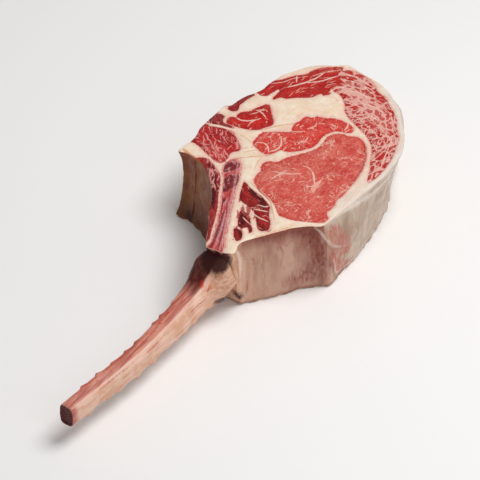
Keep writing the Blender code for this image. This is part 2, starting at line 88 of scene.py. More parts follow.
# Borders of the muscles. One that runs outside the slab's outline is trimmed by it.
MUSCLES = {
    "eye_muscle": [
        (26, 3), (30, 7.5), (37, 9.5), (42, 9.5), (45, 11.5), (50, 12.5), (53.5, 10.5), (56, 5),
        (62, 2), (66, 0), (70, -3), (75, -6.5), (80, -9.5), (86, -11.5), (92, -11.5),
        (98, -10.5), (103, -12), (106.5, -15), (108, -19), (108.5, -23), (110.5, -27),
        (110.5, -32), (107.5, -37), (103, -41), (97, -45), (90, -48), (80, -51), (70, -52.5),
        (60, -53), (50, -53.5), (45, -52), (38, -54), (29, -53.5), (25, -57), (20, -57),
        (16, -52), (13, -45), (10, -38), (9, -30), (9, -26), (12.5, -22), (15.5, -18),
        (18.5, -12), (20.5, -6), (22.5, -1.5),
    ],
    "inner_lobe": [
        (59, 18), (62, 27), (65, 31), (72, 32), (78, 31.5), (82, 27), (85, 22), (88, 17),
        (91, 13.5), (93, 16), (100, 17), (105, 15.5), (110, 15), (112, 10), (115, 8),
        (116.5, 2), (119.5, -3), (120.5, -10), (120, -15), (118.5, -20), (114, -22.5),
        (111, -20.5), (109.8, -16), (108, -12), (103, -9), (97, -7.5), (92, -8), (88, -8.5),
        (83, -7.5), (79, -5), (75, -2), (71, 2.5), (69, 6.5), (68.5, 10), (63.5, 12), (60, 14.5),
    ],
    "cap_muscle": [
        (173.5, 14.5), (172.3, 0), (168.5, -8), (163, -14), (160.5, -22), (155, -28), (150, -35),
        (143, -42), (135, -47), (128, -53), (118, -57), (105, -61), (92, -63), (80, -63),
        (73, -61), (76, -58.5), (85, -55), (92, -51), (100, -47), (108, -42), (114.5, -35),
        (119, -27), (122, -20), (126, -12), (131, -6), (137, -2), (143, 4), (145.5, 9),
        (147, 15.4), (151.2, 14.4), (155.4, 11.2), (157.8, 11.6), (159.2, 14.8), (161.4, 20.2),
        (168, 21.4),
    ],
    "top_muscle": [
        (114, 59), (116, 64), (128, 64), (133, 56), (140, 50.5), (146, 46.5), (152, 41),
        (159.2, 38.4), (165.5, 34), (170.5, 27.6), (173, 21.8), (164.5, 20.5), (161, 18.5),
        (159, 13), (158, 10), (155.5, 10.5), (152, 14), (147, 16.5), (142, 14), (138, 17),
        (139, 19.5), (132, 23), (128, 28), (124.5, 33), (120, 38), (119, 42), (114, 45.5),
        (118, 46.5), (125, 46.5), (126, 48.5), (121, 50), (115.5, 51.5), (113.5, 55),
    ],
    "wedge_muscle": [
        (74, 60), (80, 61), (82.5, 57), (85, 57.5), (89, 57), (93, 53), (98, 51), (103, 48.5),
        (107, 45.5), (104, 41), (99, 37), (95, 33), (91, 30.5), (88, 30.5), (84, 33), (80, 35),
        (77, 39), (75, 44), (74, 50), (73, 55),
    ],
    "back_muscle": [
        (42, 66), (44, 78), (63, 78), (64.5, 69), (66, 62), (67.5, 55), (67.5, 50), (65, 46.5),
        (62, 43), (59.5, 39.5), (56, 36), (52, 35), (49.5, 37), (46, 38.5), (42, 37.5),
        (38, 37), (34, 38.5), (33.5, 42), (35, 47), (37, 52), (39, 57), (41, 62),
    ],
    "back_slip": [
        (66.5, 78), (67, 68), (69, 62), (70, 55.5), (71.5, 52), (72.3, 56), (72.5, 61),
        (75, 63.5), (79, 64.5), (79.5, 70), (79, 78),
    ],
    "chine_strip": [
        (32.5, 51), (31.5, 46), (28, 39.5), (24, 33.5), (21, 30.5), (13, 25.5), (4, 21),
        (-5, 15.5), (-12, 12), (-22, 7.5), (-32, 3.5), (-40, 0.5), (-52, 3), (-40, 12),
        (-20, 24), (0, 33), (12, 44), (20, 56), (27, 58),
    ],
    "edge_strip": [
        (86.6, 64.2), (87.3, 67), (90, 68.3), (94, 72), (114, 68), (112, 60.2), (108, 60.4),
        (102, 61.6), (96, 62.4), (93, 61.2), (90, 60.4), (87.6, 61.6),
    ],
    "finger_meat_long": [
        (25.2, 13.2), (18, 10.5), (12, 8), (8, 5), (6, -2), (4, -8), (0, -12.5), (-4, -16),
        (-9, -20), (-11.5, -23.5), (-10.5, -26.5), (-8, -28.5), (-3, -27), (1, -24.5),
        (5, -21), (9, -18.5), (13, -16.5), (16, -12), (19, -6), (21, 1), (23.5, 7),
        (25.5, 11.3),
    ],
    "finger_meat_middle": [
        (-1, -1.5), (-8, -4), (-15, -8), (-16.5, -11.5), (-13.5, -15), (-17.5, -19),
        (-14.5, -19.5), (-9, -14.5), (-4, -11), (-1.5, -7),
    ],
    "finger_meat_short": [
        (-19.5, -8), (-25, -11), (-29.5, -16), (-26, -17.8), (-21, -15.5), (-18.5, -12),
    ],
}

BONE_OUTLINE = [
    (44, 31), (41, 34.5), (34, 35.5), (27, 32.5), (22, 28.5), (14, 24), (5, 19), (-4, 13.8),
    (-12, 10), (-22, 5.5), (-32, 1.5), (-40, -1.5), (-54, -3), (-54, -16), (-42, -14),
    (-30, -7.5), (-15, -0.5), (0, 6.5), (15, 13), (26, 17.5), (34, 21.5), (41, 26),
]

# %% [markdown]
# ## How the straight drawing becomes a slab
#
# The walls of the real steak aren't upright: they lean, hollow and belly out. Two short tables say
# how far the foot and the waist of the wall lie from the rim above, and every point of the slab
# blends the stations nearest to it. One function of position moves all the pieces, so neighbours
# keep their fit, just as in the solids.

# %% Lean and belly of the wall: x, y, shift x, shift y
FOOT_SHIFTS = [
    (28.5, 71.5, -2.5, 1.5), (29.5, 62, -8.5, 0), (27.5, 54, -9, 1), (22, 43.5, -8, 3),
    (8, 29.5, 0, 1), (-13, 18, 0, 1), (-36, 5, 0, 0), (-46, -8, 0, 0), (-41, -22, 1, 0.5),
    (-28, -20.5, 0, -2), (-12, -31, -1, -7.5), (-2, -38, 0, -5), (8, -48, 5, -2),
    (16, -57, 8, -8), (35, -61.5, -1.5, 0), (50, -64, 0, 1), (75, -66.7, 0, 3.7),
    (88, -67.5, 0, 8), (107, -66, -2, 11), (124, -62, -5, 11), (138, -53, -6, 6),
    (158, -35, -2, 1), (172, -11, -6, 0), (177, 14, -5, -1), (163, 42, -3, -3),
    (130, 57, 0, -3), (90, 71, 0, -2), (60, 72, 0, -1), (40, 40, 0, 0), (10, 5, 0, 0),
    (40, -20, 0, 0), (75, 25, 0, 0), (75, -20, 0, 0), (110, 10, 0, 0), (110, -20, 0, 0),
    (140, 15, 0, 0), (100, 45, 0, 0), (50, 5, 0, 0), (-10, -5, 0, 0),
]

WAIST_SHIFTS = [
    (28.5, 71.5, 4, -6), (29.5, 62, 3, -1), (22, 43.5, 1.5, -1), (0, 24, 0.5, -0.5),
    (-20, -26, 0, -0.5), (-8, -34, -0.5, -1.5), (16, -57, 1, -1.5), (45, -63, 0, -1),
    (90, -67.5, 0, 1.5), (112, -65, -1, 3), (130, -58, -2, 3), (146, -46, 2, -1),
    (158, -36, 4.5, -3.5), (173, -5, 2, 0), (170, 32, 1.5, 1), (140, 55, 0.5, 2),
    (100, 66, 0, 1.5), (60, 72, 0, 2), (40, 70, 1, -3),
    (30, 45, 0, 0), (40, 55, 0, 0), (15, -40, 0, 0), (60, -48, 0, 0), (110, -45, 0, 0),
    (145, -15, 0, 0), (150, 20, 0, 0), (120, 45, 0, 0), (75, 55, 0, 0), (0, -20, 0, 0),
]

THICKNESS = 60.0
FOOT_REACH = 16.0         # how far a lean of the wall carries into the meat
WAIST_REACH = 9.0         # the same for a hollow or belly at mid height
EYE_CROWN = 1.2           # how far the eye of the meat stands up
EYE_CENTRE = (66.0, -24.0)
EYE_RADIUS = 34.0
NECK_TOP_X = -48.0        # the neck is undercut by a plane from here at the upper face
NECK_FOOT_X = -29.0       # to here at the foot
ORIGIN_SHIFT = (14.571, -3.374, 0.0)   # from the drawing's zero to the middle of the whole box

# %% [markdown]
# ## Curves and distances
#
# Three small tools do most of the drawing: one runs a smooth curve through corners, one tells
# which points lie inside a curve, and one gives the distance to a streak drawn as a line. A streak
# is a line with a half width that tapers at its ends, as a strand of fat does. The result is
# positive inside it, so a shader can later cut it off sharply or softly.

# %% Tools for curves and streaks
def smooth_curve(corners, step, closed=True):
    """Points about one step apart on a smooth curve through the corners."""
    points = np.array(corners, float)
    if not closed:
        points = np.vstack([2 * points[0] - points[1], points, 2 * points[-1] - points[-2]])
    count = len(points)
    curve = []
    for index in (range(count) if closed else range(1, count - 2)):
        before, start = points[index - 1], points[index]
        end, after = points[(index + 1) % count], points[(index + 2) % count]
        sides = (before, start), (start, end), (end, after)
        spans = [math.sqrt(np.linalg.norm(b - a)) for a, b in sides]
        start_slope = (end - before) * spans[1] / (spans[0] + spans[1])
        end_slope = (after - start) * spans[1] / (spans[1] + spans[2])
        pieces = max(1, round(np.linalg.norm(end - start) / step))
        for piece in range(pieces):
            t = piece / pieces
            curve.append((2 * t**3 - 3 * t**2 + 1) * start + (t**3 - 2 * t**2 + t) * start_slope
                         + (3 * t**2 - 2 * t**3) * end + (t**3 - t**2) * end_slope)
    if not closed:
        curve.append(points[-2])
    return np.array(curve)


def inside(places, loop):
    """Which places lie inside a closed loop."""
    x, y = places[:, :1], places[:, 1:2]
    x0, y0 = loop[:, 0], loop[:, 1]
    x1, y1 = np.roll(loop, -1, axis=0).T
    rise = np.where(y1 == y0, 1e-9, y1 - y0)
    crossed = ((y0 > y) != (y1 > y)) & (x < x0 + (y - y0) * (x1 - x0) / rise)
    return crossed.sum(axis=1) % 2 == 1


FIELD_LIMIT = 4.0         # streaks are measured no farther out than this, in millimetres
TAPER = 0.55              # how much of its width a streak loses at its ends


def streak_field(places, streaks):
    """Depth inside the nearest streak at each place, in millimetres, and negative outside."""
    field = np.full(len(places), -FIELD_LIMIT)
    for half_width, corners in streaks:
        line = smooth_curve(corners, 1.0, closed=False)
        near = np.all((places > line.min(axis=0) - half_width - FIELD_LIMIT)
                      & (places < line.max(axis=0) + half_width + FIELD_LIMIT), axis=1).nonzero()[0]
        if not len(near):
            continue
        offsets = places[near][:, None, :] - line[None, :-1, :]
        edges = line[1:] - line[:-1]
        along = np.clip((offsets * edges).sum(axis=2) / (edges**2).sum(axis=1), 0, 1)
        gaps = np.linalg.norm(offsets - along[:, :, None] * edges, axis=2)
        nearest = gaps.argmin(axis=1)
        rows = np.arange(len(near))
        share = (nearest + along[rows, nearest]) / len(edges)
        width = half_width * (1 - TAPER * np.abs(2 * share - 1) ** 3)
        field[near] = np.maximum(field[near], width - gaps[rows, nearest])
    return field


def nearest_samples(places, samples):
    """Which sample lies nearest to each place of the plan, and how far off it is."""
    tree = kdtree.KDTree(len(samples))
    for index, sample in enumerate(samples):
        tree.insert((*sample, 0), index)
    tree.balance()
    found = [tree.find((*place, 0)) for place in places]
    return [index for _, index, _ in found], np.array([distance for _, _, distance in found])


def distance_to(places, samples):
    """Distance of each place of the plan to the nearest sample."""
    return nearest_samples(places, samples)[1]


def rough(points, size, seed=0.0):
    """Smooth random values from -1 to 1, with bumps of about this size in millimetres.

    A place of the plan takes the seed as its third coordinate.
    """
    return np.array([noise.noise(Vector((*point, seed)[:3]) / size + Vector((seed, seed, seed)))
                     for point in points])


outline = smooth_curve(SLAB_OUTLINE, 0.7)
borders = {name: smooth_curve(corners, 0.7) for name, corners in MUSCLES.items()}
borders["rib_bone"] = smooth_curve(BONE_OUTLINE, 0.7)
print("outer wall is", round(np.linalg.norm(np.diff(outline, axis=0), axis=1).sum()), "mm round")

# %% [markdown]
# ## Filling the drawing with triangles
#
# The cut face needs a mesh with two properties: its edges follow every border exactly, and its
# points lie close together everywhere, so that it can carry relief and painted streaks. A
# constrained Delaunay triangulation gives both. The borders go in as fixed edges, and a staggered
# grid of points fills the rest. Each triangle then belongs to the muscle that its centre lies in.

# %% Triangulate the plan and share it out
GRID = 0.62               # spacing of the points on the cut faces
BORDER_CLEARANCE = 0.4    # grid points keep this far from a border, so no sliver appears


def staggered_grid(low, high, step):
    """Points in rows, every second row moved by half a step, as in a honeycomb."""
    rows = np.arange(low[1], high[1], step * math.sqrt(3) / 2)
    columns = np.arange(low[0], high[0], step)
    grid = [np.column_stack([columns + step / 2 * (index % 2), np.full(len(columns), row)])
            for index, row in enumerate(rows)]
    return np.vstack(grid)


loops = [outline, *borders.values()]
border_samples = np.vstack(loops)
grid = staggered_grid(outline.min(axis=0), outline.max(axis=0), GRID)
grid = grid[inside(grid, outline)]
grid = grid[distance_to(grid, border_samples) > BORDER_CLEARANCE]

fixed_edges = []
first = 0
for loop in loops:
    fixed_edges += [(first + i, first + (i + 1) % len(loop)) for i in range(len(loop))]
    first += len(loop)
start_points = [Vector(point) for point in np.vstack([border_samples, grid])]
plan = geometry.delaunay_2d_cdt(start_points, fixed_edges, [], 0, 1e-4, False)
plan_points = np.array([tuple(point) for point in plan[0]])
plan_faces = np.array([tuple(face) for face in plan[2]])
centres = plan_points[plan_faces].mean(axis=1)
in_slab = inside(centres, outline)
plan_faces, centres = plan_faces[in_slab], centres[in_slab]

owner = np.full(len(plan_faces), "fat_body", dtype=object)
for name, border in borders.items():
    owner[inside(centres, border)] = name
print("points in the plan:", len(plan_points), "triangles:", len(plan_faces))

# %% [markdown]
# ## Drawn streaks
#
# Random marbling looks random, so the strands that a buyer would recognise are drawn: the white
# membrane round the eye, seams inside the muscles, the orange threads of connective tissue, the
# pale violet stripes of the split rib, its dark pockets of marrow and the slivers of meat in the
# fat beside it. Each is a half width and a few corners, in millimetres.

# %% Pale seams, amber threads, dark meat and violet bone on the cut face
PALE_SEAMS = [
    (1.5, [(28, 14), (24, 6), (23, 0), (19, -10), (15, -17), (8, -25), (6, -30), (8, -37),
           (11, -45), (15, -53), (17, -58)]),
    (0.5, [(45, 2), (47, -5), (50, -12), (54, -17)]), (0.4, [(34, -2), (42, -3), (50, -6)]),
    (0.65, [(60, -22), (56, -26), (49, -31)]), (0.35, [(60, -22), (62, -17), (61, -13)]),
    (0.6, [(62, 16), (66, 13), (72, 12), (80, 16.5)]),
    (0.55, [(66, 29), (68, 24), (66, 19), (62, 16)]), (0.45, [(91, 14), (92, 10), (95, 6)]),
    (0.6, [(112, -17), (116, -17), (120, -15)]), (0.45, [(98, 6), (104, 3), (108, 4)]),
    (0.4, [(82, 3), (86, 0), (92, 1)]), (0.65, [(82, 57), (81, 52), (83, 47), (87, 43)]),
    (0.55, [(97, 49), (96, 43), (93, 38)]), (0.4, [(90, 50), (96, 46), (102, 45)]),
    (0.45, [(78, 44), (84, 44), (90, 41)]), (0.8, [(64, 69), (67, 62), (69, 52)]),
    (0.7, [(131, 43.5), (140, 37), (150, 32), (158, 30)]),
    (0.6, [(143, 34), (150, 27), (158, 22), (163, 19)]), (0.5, [(139, 41), (146, 45)]),
    (0.4, [(150, 36), (160, 30), (167, 25)]), (0.4, [(128, 57), (134, 50), (143, 45), (150, 38)]),
    (0.6, [(143, 15.5), (149, 13.8), (153, 10), (157, 8.5)]),
    (0.45, [(160, 14), (163, 6), (162, -3), (158, -12)]), (0.4, [(167, 14), (168, 5), (165, -6)]),
    (0.5, [(150, 6), (154, -2), (153, -10), (150, -16)]),
    (0.5, [(140, -6), (145, -14), (146, -24), (142, -33)]),
    (0.4, [(131, -14), (136, -24), (133, -36)]), (0.4, [(124, -50), (112, -54), (98, -58)]),
    (2.2, [(-43, -18.5), (-38, -20), (-33, -18.5)]), (0.55, [(1, -10), (-1, -17), (-1, -24)]),
    (0.5, [(10, -9), (11, -14), (14, -16)]), (0.5, [(5, -8), (6, -14), (8, -19)]),
    (0.4, [(-6, -6), (-9, -12), (-10, -18)]),
]
AMBER_THREADS = [
    (0.5, [(80, 33), (88, 27.5), (94, 22), (99, 17.5)]), (0.35, [(67, 43), (66, 37), (64, 32)]),
    (0.45, [(27, 10), (23, -2), (18, -13), (12, -19), (6, -24), (3, -27)]),
    (1.7, [(32, 69), (29.6, 63), (27.6, 56), (24.5, 49), (20, 43)]),
    (0.35, [(40, 14), (47, 16), (55, 17)]), (0.35, [(52, 31), (60, 24), (68, 20)]),
    (0.35, [(54, 35), (62, 27.5), (70, 23)]),
    (0.5, [(42.7, 33.7), (48.5, 26), (54.4, 18.9), (59.9, 11.6)]),
    (0.5, [(-20, -24.5), (-6, -34), (4, -41)]),
]
DARK_POCKETS = [
    (4.4, [(29, 31), (34, 30), (39, 27.5)]), (4.6, [(11, 19.5), (18, 22.5), (24.5, 24.2)]),
    (3.4, [(16, 17.5), (22, 19.6), (28, 21)]), (1.2, [(-1, 13.5), (3, 15)]),
    (0.8, [(-8, 8), (-20, 3.2), (-32, -1.6), (-45, -5)]),
    (0.7, [(-15, 2.5), (-28, -3.4), (-43, -10)]), (4.0, [(24, 6), (20, 0), (17, -5)]),
    (2.4, [(18, -4), (13, -10), (8, -14)]), (2.2, [(-3, -5), (-9, -8), (-13, -11)]),
    (2.0, [(24, 38), (14, 31), (2, 24), (-10, 16)]), (1.2, [(29, 47), (25, 40)]),
    (1.4, [(-19, -12), (-22, -14.5), (-24, -17)]),
    (0.1, [(106, -37.5), (97, -44), (88, -47.6), (80, -50), (70, -51.6), (60, -52.3)]),
]
VIOLET_STRIPES = [
    (0.8, [(42, 29), (30, 22.5), (15, 15), (0, 8.2), (-15, 1.4), (-30, -5.6), (-46, -12.5)]),
    (0.7, [(-10, 6), (-25, -0.4), (-45, -7.5)]), (0.6, [(-18, 6), (-32, 1), (-46, -2.5)]),
    (0.8, [(38, 28), (40, 33)]), (0.6, [(27, 24), (31, 30)]), (0.35, [(20, 31), (6, 24), (-4, 18)]),
    (0.3, [(17.5, 21), (21, 23.4), (24.5, 24.6)]), (0.3, [(13.5, 21.5), (17, 24.5)]),
    (0.35, [(29, 31.4), (34, 29.4)]), (0.5, [(-2, 11), (1, 12.6), (5, 13)]),
]
MEAT_SHREDS = [           # slivers of meat in the fat between the rib and the eye
    (1.8, [(13, 4), (8, -2), (2, -6), (-3, -8)]), (1.2, [(4, 0), (-4, -4), (-10, -8)]),
    (1.1, [(-12, -11), (-19, -13), (-25, -17)]), (1.0, [(6, -9), (1, -13), (-4, -14)]),
    (1.1, [(20, 9), (14, 7.5), (6, 4)]), (0.7, [(-16, -8), (-24, -11.5), (-30, -14)]),
    (1.0, [(11.5, 7.5), (8.7, 2.3), (5, -1)]), (0.9, [(-3, 0), (-10, -5.5), (-17, -12)]),
    (0.5, [(4, -7), (0.8, -12.8), (-5, -18)]), (0.6, [(-18, -7), (-25, -13.5), (-29, -17)]),
    (0.5, [(-12.5, -26.2), (-10, -29.4), (-7, -30.8)]),
]
FAT_CLOUDS = [            # soft areas where fat is finely mixed into the meat
    (7.0, [(157, 8), (154, -2), (146, -14), (138, -28), (128, -42)]), (3.0, [(150, 14), (152, 8)]),
    (5.0, [(40, 6), (46, -2), (50, -12)]), (4.5, [(96, -46), (80, -52), (60, -58)]),
    (3.0, [(38, 40), (43, 46), (46, 52)]), (3.5, [(76, -22), (92, -18)]),
]
# For each muscle: strands, mean length, half width, direction and its spread in degrees.
SCATTERED = {
    "eye_muscle": (80, 4.0, 0.3, -20, 60), "inner_lobe": (42, 3.8, 0.34, 10, 50),
    "top_muscle": (38, 5.5, 0.32, -28, 18), "wedge_muscle": (16, 4.0, 0.34, 40, 50),
    "back_muscle": (44, 6.0, 0.42, 52, 22), "finger_meat_long": (11, 4.5, 0.35, 60, 25),
    "chine_strip": (26, 5.0, 0.4, 32, 20), "cap_muscle": (60, 6.0, 0.42, 0, 25),
}
STRAND_SEED = 11
STRAND_BEND = 0.35        # how much a strand bends, in radians
# The grain of these muscles runs in arcs round a point of the plan.
FLOW_CENTRES = {"cap_muscle": (100, -5), "top_muscle": (115, -30), "edge_strip": (115, -30)}


def scattered_strands():
    """Short bent strands of fat inside the muscles, drawn with a fixed seed."""
    chance = np.random.default_rng(STRAND_SEED)
    strands = []
    for name, (count, length, half_width, direction, spread) in SCATTERED.items():
        border = borders[name]
        spots = chance.uniform(border.min(axis=0), border.max(axis=0), (count * 4, 2))
        spots = spots[inside(spots, border)][:count]
        for spot in spots:
            heading = math.radians(direction + chance.normal(0, spread))
            if name in FLOW_CENTRES:
                arm = spot - FLOW_CENTRES[name]
                heading += math.atan2(arm[1], arm[0]) + math.pi / 2 - math.radians(direction)
            run = length * chance.uniform(0.4, 1.5)
            bend = chance.normal(0, STRAND_BEND)
            step = run / 2 * np.array((math.cos(heading), math.sin(heading)))
            turned = run / 2 * np.array((math.cos(heading + bend), math.sin(heading + bend)))
            strands.append((half_width * chance.uniform(0.7, 1.5),
                            [spot - step, spot, spot + turned]))
    return strands


TOUCHING = 1.2            # muscles whose borders run closer than this have no fat between them
plan_places = plan_points[:, :2]
fat_edges = [outline]     # borders where meat meets fat, not where two muscles touch
for name, border in borders.items():
    others = np.vstack([loop for other, loop in borders.items() if other != name])
    fat_edges.append(border[distance_to(border, others) > TOUCHING])
edge_distance = distance_to(plan_places, np.vstack(fat_edges))
meat_distance = distance_to(plan_places, np.vstack([*borders.values()]))
pale = streak_field(plan_places, PALE_SEAMS)
strand = streak_field(plan_places, scattered_strands())
cloud = streak_field(plan_places, FAT_CLOUDS)
amber = streak_field(plan_places, AMBER_THREADS)
dark = streak_field(plan_places, DARK_POCKETS)
violet = streak_field(plan_places, VIOLET_STRIPES)
shreds = streak_field(plan_places, MEAT_SHREDS)
print("points inside a drawn streak:", int((np.maximum(pale, amber) > 0).sum()))

# %% [markdown]
# ## Folds on the outer wall
#
# The wall carries the chest lining, a smooth membrane with soft upright wrinkles, and the outer
# fat, whose shoulder rolls over in a bright ridge. These are lines in space, given as x, y, z. A
# ridge pushes the surface out and a groove pulls it in. Making them from real geometry means that
# the light finds them from every side. The pale lines along the fat's shoulder and the neck's flank
# are also painted highlights, and the lowest dark streak under the neck is painted shadow.

# %% Ridges, grooves, stains, painted highlights and painted shadow of the wall: x, y, z
# Pale lines of the wall. The first and third are pale folds. The second, along the fat's rolled
# shoulder, and the last, on the neck's flank, are painted highlights. All of them also raise a
# ridge.
WALL_PALE_AND_HIGHLIGHTS = [
    (1.1, [(13, -54, 58), (14.8, -57.1, 54.4), (20, -60.6, 43.7), (26.3, -62.7, 34.3),
           (38.8, -63.5, 26.1)]),
    (2.4, [(30, -61.0, 59.5), (44.5, -63.4, 57.2), (58, -65, 54.5), (76.7, -65.5, 52),
           (100, -64, 50), (125, -57, 48)]),
    (0.9, [(24.5, -62.9, 24), (28, -63.5, 9), (39, -63.2, 5), (52, -62.9, 4)]),
    (1.8, [(-39.5, -20.6, 59), (-33.5, -20.7, 53), (-31.6, -20.9, 45), (-31.3, -21.2, 36),
           (-32, -21.6, 28)]),
]
WALL_VEINS = [            # brown seams that also lie in a groove
    (0.7, [(16, -57.4, 56), (22, -60.8, 41), (28, -62.7, 31.5), (38.8, -63.5, 24)]),
    (0.8, [(23.3, -62.9, 26), (26.6, -63.5, 6), (38, -63.2, 2.6), (52, -62.9, 1.6)]),
    (1.1, [(-29, -20.9, 50.3), (-26.4, -22.6, 40.1), (-26, -23.4, 25), (-27, -23, 10.3)]),
    (1.0, [(-22.3, -25.2, 42.8), (-21.4, -26.6, 30.7), (-22.6, -26.1, 17.7)]),
    (0.8, [(-16.7, -29.2, 45.7), (-16.6, -30, 36.5), (-18.2, -29.4, 25.1), (-17.4, -30.6, 10.7)]),
    (0.8, [(-5.8, -37.1, 47), (-4.5, -38.9, 38.3), (-6.3, -38.4, 29)]),
]
RIM_THREADS = [           # threads that lie flat along the rim
    (0.6, [(-12, -31, 58.5), (-2, -38, 58.5), (8, -48, 58.5)]),
    (0.8, [(28.6, 62, 59.5), (25.5, 52, 59), (21.5, 44.5, 59)]),
]
# The last streak, low under the neck, is painted shadow; the others are dark meat.
NECK_DARK_AND_SHADOW = [             # dark meat round the neck of the bone
    (6.6, [(-46.3, -3.0, 57), (-47.5, -5.5, 50.8), (-51.5, -8.0, 45.1)]),
    (6.2, [(-45.3, -10.5, 57), (-46.5, -12, 50.5), (-49.5, -12, 43)]),
    (4.6, [(-43.5, -15.5, 58), (-45, -16, 52), (-48, -15, 44)]),
    (2.5, [(-48, 1, 58), (-52, 2, 50)]),
    (3.4, [(-53, -14, 19), (-44, -16, 16), (-36, -18, 13), (-31, -20, 9)]),
]
# A dark patch at the foot of the spine side.
SPINE_FOOT_DARK = [(3.2, [(24.9, 61, 8.6), (23.2, 59.1, 2)])]
WALL_RAW = [              # patches where the red meat shows through
    (9.0, [(24, -61, 50), (29, -62.6, 39.7), (34.0, -63.3, 29.9), (42.7, -63.7, 20)]),
    (6.0, [(22, -61, 30), (27, -63, 18), (36, -63.5, 8), (48, -63, 5)]),
    (6.5, [(4, -42, 57), (12, -54, 50), (13, -58, 30), (14, -60, 10)]),
    (7.0, [(-5, -46, 16), (5, -53, 13), (13, -60, 15)]),
    (3.5, [(-20, -27, 58), (-8, -34, 57), (2, -41, 57)]),
]
# Folds, ridges and grooves: reach, height and line.
FOLDS = [(1.4, 0.5, [(-25.4, -23, 54), (-24.2, -24, 38), (-24, -24.8, 24), (-25, -24.4, 10)]),
         (1.4, 0.5, [(-19.6, -27, 50), (-19, -28, 34), (-20, -28, 16)]),
         (1.3, 0.4, [(-10, -34, 44), (-8, -36, 22)])]
RIDGE_REACH, RIDGE_HEIGHT = 2.2, 0.8      # reach in half widths, height in millimetres
GROOVE_REACH, GROOVE_DEPTH = 1.8, 0.7
RIDGES = [(half * RIDGE_REACH, RIDGE_HEIGHT, line) for half, line in WALL_PALE_AND_HIGHLIGHTS] + FOLDS
GROOVES = [(half * GROOVE_REACH, -GROOVE_DEPTH, line) for half, line in WALL_VEINS]


def ridge_relief(points, ridges):
    """How far ridges and grooves move points outwards, in millimetres."""
    relief = np.zeros(len(points))
    for reach, height, line in ridges:
        depth = streak_field(points, [(reach, line)])
        relief += height * np.clip(depth / reach, 0, 1) ** 2
    return relief


# %% [markdown]
# ## One function shapes everything
#
# Each point of the drawing stands for an upright column of points. The column leans and bellies by
# the tables, and the cut faces get their low relief: muscles swell a little between the seams, as
# meat does once its skin of fat no longer holds it, and fibres make a fine unevenness.

# %% Shape the columns
SEAM_GROOVE = 0.35        # depth of the groove along a border
MUSCLE_SWELL = 0.45       # how far meat stands above its border
SWELL_REACH = 5.0         # how far from the border it takes to rise
SEAM_REACH = 0.9          # half width of the groove
FACE_LEVEL = 0.75         # share of the swell by which the face is let down again
WRINKLE_SIZE = 7.0        # width of the wall's upright wrinkles
WRINKLE_DEPTH = 0.4
WALL_LUMPS = 0.9          # height of the broad unevenness of the wall
FOOT_SCALLOP = 2.4        # how far the ragged lower rim rises
FOOT_RAGGED = 3.5         # how far inwards it is ragged
LEAST_COLUMN = 3.0        # what the undercut leaves of a column at least
FINE_BUMPS, BROAD_BUMPS = 0.12, 0.15  # height of the unevenness of the cut face
SEAM_RISE, POCKET_SINK = 0.25, 0.3        # relief of a pale seam and of a dark pocket
RIM_FADE = 4.0            # the relief of the wall fades out this near to the rims
WALL_SINK = 0.7           # how far the whole wall goes in, so its lumps stay inside the solid
RIM_ROUND = 0.9           # radius of the rims of the wall
FAT_ROLL = 3.6            # the same where the fat cover rolls over into the wall
FOOT_ROUND, FOOT_ROUND_REACH = 1.2, 1.5   # how high and how far inwards the lower rim rounds off
ON_RIM = 0.05             # columns nearer than this to the wall are on it


def blended_shift(table, places, reach):
    """The shifts of a table at many places, each station weighing by its nearness."""
    stations = np.array(table, float)
    squares = ((places[:, None, :] - stations[None, :, :2]) ** 2).sum(axis=2)
    weights = np.exp(-(squares - squares.min(axis=1)[:, None]) / (2 * reach**2))
    return weights @ stations[:, 2:] / weights.sum(axis=1)[:, None]


def outward_directions(loop):
    """The direction that points out of a closed loop, at each of its points."""
    tangents = np.roll(loop, -1, axis=0) - np.roll(loop, 1, axis=0)
    tangents /= np.linalg.norm(tangents, axis=1)[:, None]
    following = np.roll(loop, -1, axis=0)
    turn = math.copysign(1.0, np.sum(loop[:, 0] * following[:, 1] - following[:, 0] * loop[:, 1]))
    return np.stack([tangents[:, 1], -tangents[:, 0]], axis=1) * turn


nearest_of_wall, wall_distance = nearest_samples(plan_places, outline)
wall_outward = outward_directions(outline)[nearest_of_wall]
foot_shift = blended_shift(FOOT_SHIFTS, plan_places, FOOT_REACH)
waist_shift = blended_shift(WAIST_SHIFTS, plan_places, WAIST_REACH)
eye_square = ((plan_places - EYE_CENTRE) ** 2).sum(axis=1) / (2 * EYE_RADIUS**2)
face_bumps = rough(plan_places, 2.6) * FINE_BUMPS + rough(plan_places, 9.0, 4.0) * BROAD_BUMPS
swell = MUSCLE_SWELL * (1 - np.exp(-(edge_distance / SWELL_REACH) ** 2))
groove = SEAM_GROOVE * np.exp(-(edge_distance / SEAM_REACH) ** 2)
upper_relief = (EYE_CROWN * np.exp(-eye_square) - FACE_LEVEL * MUSCLE_SWELL + swell - groove
                + face_bumps + SEAM_RISE * np.clip(pale, -0.5, 0.5)
                - POCKET_SINK * np.clip(dark, 0, 1))
neck_slope = THICKNESS / (NECK_TOP_X - NECK_FOOT_X)
under = THICKNESS + (plan_places[:, 0] - NECK_TOP_X) * neck_slope
under = np.clip(under, 0, THICKNESS - LEAST_COLUMN)
scallop = (FOOT_SCALLOP * np.clip(rough(plan_places, 5.0, 9.0) + 0.2, 0, 1)
           * np.exp(-(wall_distance / FOOT_RAGGED) ** 2))
# The fat cover rolls over only where the wall faces away from the spine, and more to the far end.
roll_side = (np.clip((-wall_outward[:, 1] - 0.15) / 0.5, 0, 1)
             * np.clip((plan_places[:, 0] - 22) / 25, 0, 1))
rim_radius = RIM_ROUND + (FAT_ROLL - RIM_ROUND) * roll_side
roll = math.pi / 4 * np.clip(1 - wall_distance / rim_radius, 0, 1)
face_inset = np.clip(rim_radius * (1 - np.sin(roll)) - wall_distance, 0, None) * (roll > 0)
face_drop = rim_radius * (1 - np.cos(roll))


